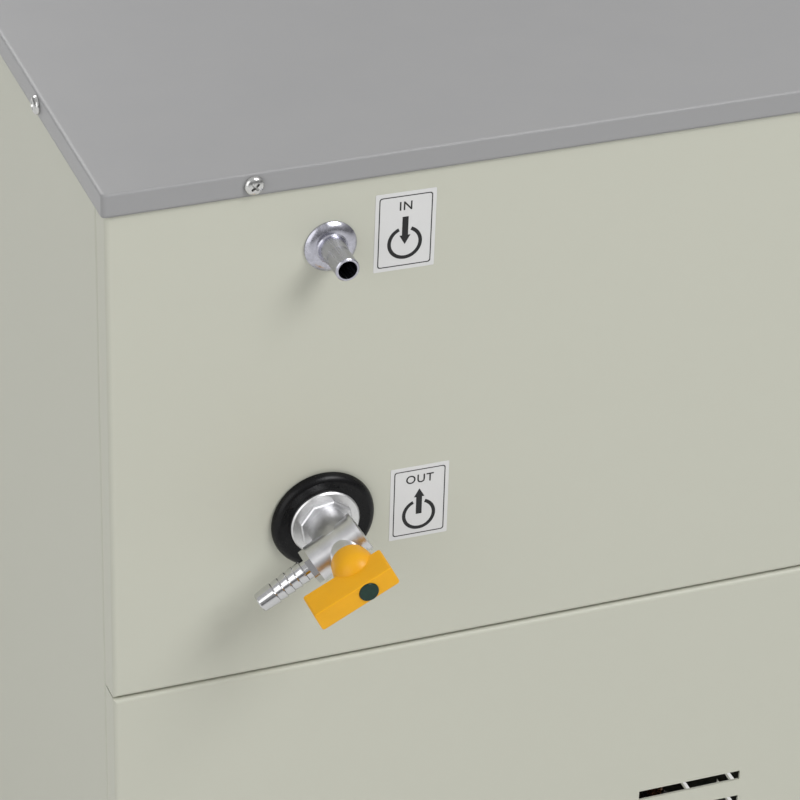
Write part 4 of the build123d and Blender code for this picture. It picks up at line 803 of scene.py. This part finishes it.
class CHILLER_OT_stage(bpy.types.Operator):
    """Make the floor, the lamps, the room's light and the camera"""
    bl_idname = "chiller.stage"
    bl_label = "Stage and camera"

    def execute(self, context):
        settings = context.scene.chiller_stage
        scene = context.scene
        scene.view_settings.view_transform = "Standard"
        half = settings.floor_size / 2
        data = bpy.data.meshes.new("floor")
        data.from_pydata([(-half, -half, 0), (half, -half, 0), (half, half, 0), (-half, half, 0)], [],
                         [(0, 1, 2, 3)])
        floor = bpy.data.objects.new("floor", data)
        scene.collection.objects.link(floor)
        data.materials.append(skin("floor_paint", (0.78, 0.78, 0.77), 0.6, 0.7, grain=60.0, cloud=1.0,
                                   variety=0.01, depth=1e-4, strength=0.05))
        self.lamps(scene, settings)
        self.room(scene, settings)
        self.camera(scene)
        return {"FINISHED"}

    def lamps(self, scene, settings):
        """Soft square lamps that face the cabinet."""
        aim = Vector((0.05, 0.1, 0.45))
        for name, place, size, share in LAMPS:
            lamp = bpy.data.lights.new(name, "AREA")
            lamp.size = size
            lamp.energy = settings.key_power * share
            holder = bpy.data.objects.new(name, lamp)
            scene.collection.objects.link(holder)
            holder.location = place
            holder.rotation_euler = (aim - Vector(place)).to_track_quat("-Z", "Y").to_euler()

    def room(self, scene, settings):
        """Light from all round, darker below the horizon."""
        ground, sky = (0.46, (0.22, 0.22, 0.225, 1)), (0.78, (1.0, 1.0, 1.0, 1))
        world = bpy.data.worlds.new("room")
        scene.world = world
        world.use_nodes = True
        tree = world.node_tree
        background = tree.nodes["Background"]
        background.inputs["Strength"].default_value = settings.world_level
        vector = tree.nodes.new("ShaderNodeTexCoord").outputs["Generated"]
        split = tree.nodes.new("ShaderNodeSeparateXYZ")
        tree.links.new(vector, split.inputs[0])
        ramp = tree.nodes.new("ShaderNodeValToRGB")
        for index, (position, colour) in enumerate((ground, sky)):
            ramp.color_ramp.elements[index].position = position
            ramp.color_ramp.elements[index].color = colour
        tree.links.new(remap(tree, split.outputs[2], -1.0, 1.0), ramp.inputs["Fac"])
        tree.links.new(ramp.outputs["Color"], background.inputs["Color"])

    def camera(self, scene):
        """The photo's view: the port panel from above and from its left."""
        elevation, heading, roll = (math.radians(v) for v in (31.42, 21.09, 1.60))
        target, distance, focal_length = Vector((0.066, REAR_Y, 0.5438)), 1.55, 170.2
        ahead = Vector((-math.sin(heading) * math.cos(elevation),
                        -math.cos(heading) * math.cos(elevation), -math.sin(elevation)))
        right = Vector((-math.cos(heading), math.sin(heading), 0))
        up = right.cross(ahead)
        right, up = (right * math.cos(roll) + up * math.sin(roll),
                     up * math.cos(roll) - right * math.sin(roll))
        lens = bpy.data.cameras.new("camera")
        lens.sensor_width = 36.0
        lens.lens = focal_length
        lens.clip_start = 0.01
        holder = bpy.data.objects.new("camera", lens)
        scene.collection.objects.link(holder)
        place = Matrix((right, up, -ahead)).transposed().to_4x4()
        place.translation = target - distance * ahead
        holder.matrix_world = place
        scene.camera = holder


# Drawings and trees that the operators use

def label_print(settings, word, ring_drop):
    """A port label's printed frame, broken ring, flow arrow and word."""
    drawing = bmesh.new()
    wide, tall = settings.frame_width / MM, settings.frame_height / MM
    line, outer_corner, inner_corner = settings.frame_line / MM, 1.2, 1.0
    band(drawing, rounded(wide + line, tall + line, outer_corner),
         rounded(wide - line, tall - line, inner_corner), *PRINT)
    ring, sweep = (0.0, -ring_drop), (113, 427)
    radius, stroke = settings.ring_radius / MM, settings.ring_line / MM
    band(drawing, arc(ring, radius + stroke / 2, *sweep), arc(ring, radius - stroke / 2, *sweep),
         *PRINT, closed=False)
    shaft, barb, top, tip, neck = 1.3, 2.35, 6.3, -6.2, -2.1
    arrow = [(-shaft, top), (-shaft, neck), (-barb, neck), (0.0, tip), (barb, neck), (shaft, neck),
             (shaft, top)]
    if word == "OUT":
        arrow = [(-x, top + tip - y) for x, y in arrow]
    prism(drawing, arrow, *PRINT)
    letter_height, letter_middle = 3.9, (0.0, 11.3)
    word_points(drawing, word, letter_height, letter_middle, *PRINT)
    return drawing


def segment_outline(segment, x, width, height, thick):
    """One bar of a seven-segment digit, with pointed ends."""
    across = {"a": height / 2 - thick / 2, "g": 0.0, "d": -height / 2 + thick / 2}
    gap = 0.06 * height
    if segment in across:
        y, left, right = across[segment], x + gap, x + width - gap
        return [(left, y), (left + thick / 2, y - thick / 2), (right - thick / 2, y - thick / 2),
                (right, y), (right - thick / 2, y + thick / 2), (left + thick / 2, y + thick / 2)]
    side = x + width - thick / 2 + gap / 2 if segment in "bc" else x + thick / 2 - gap / 2
    top = segment in "bf"
    low, high = (gap, height / 2 - gap) if top else (-height / 2 + gap, -gap)
    return [(side, low), (side + thick / 2, low + thick / 2), (side + thick / 2, high - thick / 2),
            (side, high), (side - thick / 2, high - thick / 2), (side - thick / 2, low + thick / 2)]


def sign_ring(drawing, first, last):
    """Part of the ring that two of the signs share, between two angles."""
    outer, inner = 3.0, 2.4
    band(drawing, arc((0, 0), outer, first, last), arc((0, 0), inner, first, last), *MARK, closed=False)


def power_sign(drawing):
    """Broken ring with a bar."""
    sign_ring(drawing, 120, 420)
    prism(drawing, bar(0.3, 0.6, 3.6), *MARK)


def cold_sign(drawing):
    """Six-armed ice star with two twigs on each arm."""
    arm, twig, fork, spread = bar(0.25, 0.35, 3.5), bar(0.2, 0.0, 1.3), (0.25, 2.0), 50
    for angle in range(0, 360, 60):
        prism(drawing, turned(arm, angle), *MARK)
        for side in (1, -1):
            branch = [(x + fork[0] * side, y + fork[1]) for x, y in turned(twig, -spread * side)]
            prism(drawing, turned(branch, angle), *MARK)


def flow_sign(drawing):
    """Two arrows that chase each other round a circle."""
    sweep, head = 115, [(1.7, -0.1), (3.7, -0.1), (2.7, 1.5)]
    for start in (20, 200):
        sign_ring(drawing, start, start + sweep)
        prism(drawing, turned(head, start + sweep), *MARK)


def screw_pattern(settings):
    """One pan-head screw with a cross recess, its head's seat at the origin and its axis up."""
    radius, height = settings.head_radius, settings.head_height
    shank_radius, shank_length, chamfer = 2 * MM, 8 * MM, (0.2 * MM, 0.25 * MM)
    rim, roundness = 0.22, 0.72
    profile = [(0, -shank_length), (shank_radius, -shank_length), (shank_radius, 0),
               (radius - chamfer[0], 0), (radius, chamfer[1]), (radius, rim * height)]
    for step in range(1, 8):
        angle = math.radians(90 * step / 8)
        profile.append((radius * math.cos(angle) ** roundness,
                        height * (rim + (1 - rim) * math.sin(angle))))
    profile.append((0, height))
    body = bmesh.new()
    lathe(body, profile)
    head = bpy.data.objects.new("screw_pattern", finished_mesh("screw", body, Matrix.Identity(4), 35))
    wing, reach, taper = settings.recess_width / 2, 0.56 * radius, 0.8
    depth, floor_share, clear = 0.75 * height, 0.55, 0.4 * MM
    outline = []
    for quarter in range(4):
        outline += turned([(wing, -wing), (reach, -wing * taper), (reach, wing * taper)], 90 * quarter)
    floor = [(x * floor_share, y * floor_share) for x, y in outline]
    cutter = bmesh.new()
    loft(cutter, floor, height - depth, outline, height + clear)
    tool = bpy.data.objects.new("recess_cutter", finished_mesh("recess", cutter, Matrix.Identity(4)))
    for item in (head, tool):
        bpy.context.scene.collection.objects.link(item)
    modifier = head.modifiers.new("recess", "BOOLEAN")
    modifier.operation = "DIFFERENCE"
    modifier.solver = "EXACT"
    modifier.object = tool
    bpy.context.view_layer.update()
    data = bpy.data.meshes.new_from_object(head.evaluated_get(bpy.context.evaluated_depsgraph_get()))
    head.modifiers.remove(modifier)
    head.data = data
    bpy.data.objects.remove(tool)
    return head


def screw_seats():
    """Seats and outward directions of the eight lip screws, from the cover's box."""
    low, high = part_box("top_cover")
    middle = (low.y + high.y) / 2
    drop, end_reach, side_reach = 0.0052, 0.130, 0.150
    z = high.z - drop
    seats, normals = [], []
    for side in (1, -1):
        for place in (-end_reach, end_reach):
            seats.append((place, high.y if side > 0 else low.y, z))
            normals.append((0, side, 0))
        for place in (-side_reach, side_reach):
            seats.append((high.x if side > 0 else low.x, middle + place, z))
            normals.append((side, 0, 0))
    return seats, normals


def fastener_tree():
    """Instances of one fastener on points, each turned to its facing and a step further round."""
    tree = bpy.data.node_groups.new("Fasteners on seats", "GeometryNodeTree")
    for label, kind in (("Geometry", "NodeSocketGeometry"), ("Fastener", "NodeSocketObject"),
                        ("Turn Step", "NodeSocketFloat"), ("Finish", "NodeSocketMaterial")):
        tree.interface.new_socket(name=label, in_out="INPUT", socket_type=kind)
    tree.interface.new_socket(name="Geometry", in_out="OUTPUT", socket_type="NodeSocketGeometry")
    make = tree.nodes.new
    source, sink = make("NodeGroupInput"), make("NodeGroupOutput")
    facing = make("GeometryNodeInputNamedAttribute")
    facing.data_type = "FLOAT_VECTOR"
    facing.inputs["Name"].default_value = "facing"
    align = make("FunctionNodeAlignRotationToVector")
    align.axis = "Z"
    info = make("GeometryNodeObjectInfo")
    index = make("GeometryNodeInputIndex")
    step = make("ShaderNodeMath")
    step.operation = "MULTIPLY"
    turn = make("FunctionNodeAxisAngleToRotation")
    turn.inputs["Axis"].default_value = (0, 0, 1)
    combine = make("FunctionNodeRotateRotation")
    combine.rotation_space = "LOCAL"
    instance = make("GeometryNodeInstanceOnPoints")
    realize = make("GeometryNodeRealizeInstances")
    finish = make("GeometryNodeSetMaterial")
    link = tree.links.new
    link(facing.outputs["Attribute"], align.inputs["Vector"])
    link(index.outputs[0], step.inputs[0])
    link(source.outputs["Turn Step"], step.inputs[1])
    link(step.outputs[0], turn.inputs["Angle"])
    link(align.outputs[0], combine.inputs[0])
    link(turn.outputs[0], combine.inputs[1])
    link(source.outputs["Fastener"], info.inputs["Object"])
    link(source.outputs["Geometry"], instance.inputs["Points"])
    link(info.outputs["Geometry"], instance.inputs["Instance"])
    link(combine.outputs[0], instance.inputs["Rotation"])
    link(instance.outputs[0], realize.inputs[0])
    link(realize.outputs[0], finish.inputs["Geometry"])
    link(source.outputs["Finish"], finish.inputs["Material"])
    link(finish.outputs[0], sink.inputs[0])
    return tree


class CHILLER_PT_panel(bpy.types.Panel):
    """Lists the chiller's settings and the operators that build its finish"""
    bl_idname = "CHILLER_PT_panel"
    bl_label = "Chiller"
    bl_space_type = "VIEW_3D"
    bl_region_type = "UI"
    bl_category = "Chiller"

    def draw(self, context):
        layout = self.layout
        for name in SETTINGS:
            box = layout.box()
            for key in getattr(context.scene, name).bl_rna.properties.keys():
                if key not in ("rna_type", "name"):
                    box.prop(getattr(context.scene, name), key)
        for operator in OPERATORS:
            layout.operator(operator.bl_idname)


SETTINGS = {"chiller_cabinet": CabinetSettings, "chiller_ports": PortSettings,
            "chiller_labels": LabelSettings, "chiller_screws": ScrewSettings,
            "chiller_controls": ControlSettings, "chiller_stage": StageSettings}
OPERATORS = (CHILLER_OT_stage, CHILLER_OT_cabinet, CHILLER_OT_ports, CHILLER_OT_inside,
             CHILLER_OT_labels, CHILLER_OT_screws, CHILLER_OT_controls)


def register():
    for item in (*SETTINGS.values(), *OPERATORS, CHILLER_PT_panel):
        bpy.utils.register_class(item)
    for name, item in SETTINGS.items():
        setattr(bpy.types.Scene, name, bpy.props.PointerProperty(type=item))


def unregister():
    for name in SETTINGS:
        delattr(bpy.types.Scene, name)
    for item in reversed((*SETTINGS.values(), *OPERATORS, CHILLER_PT_panel)):
        bpy.utils.unregister_class(item)


def main():
    register()
    for operator in OPERATORS:
        family, action = operator.bl_idname.split(".")
        getattr(getattr(bpy.ops, family), action)()


if __name__ == "__main__":
    main()
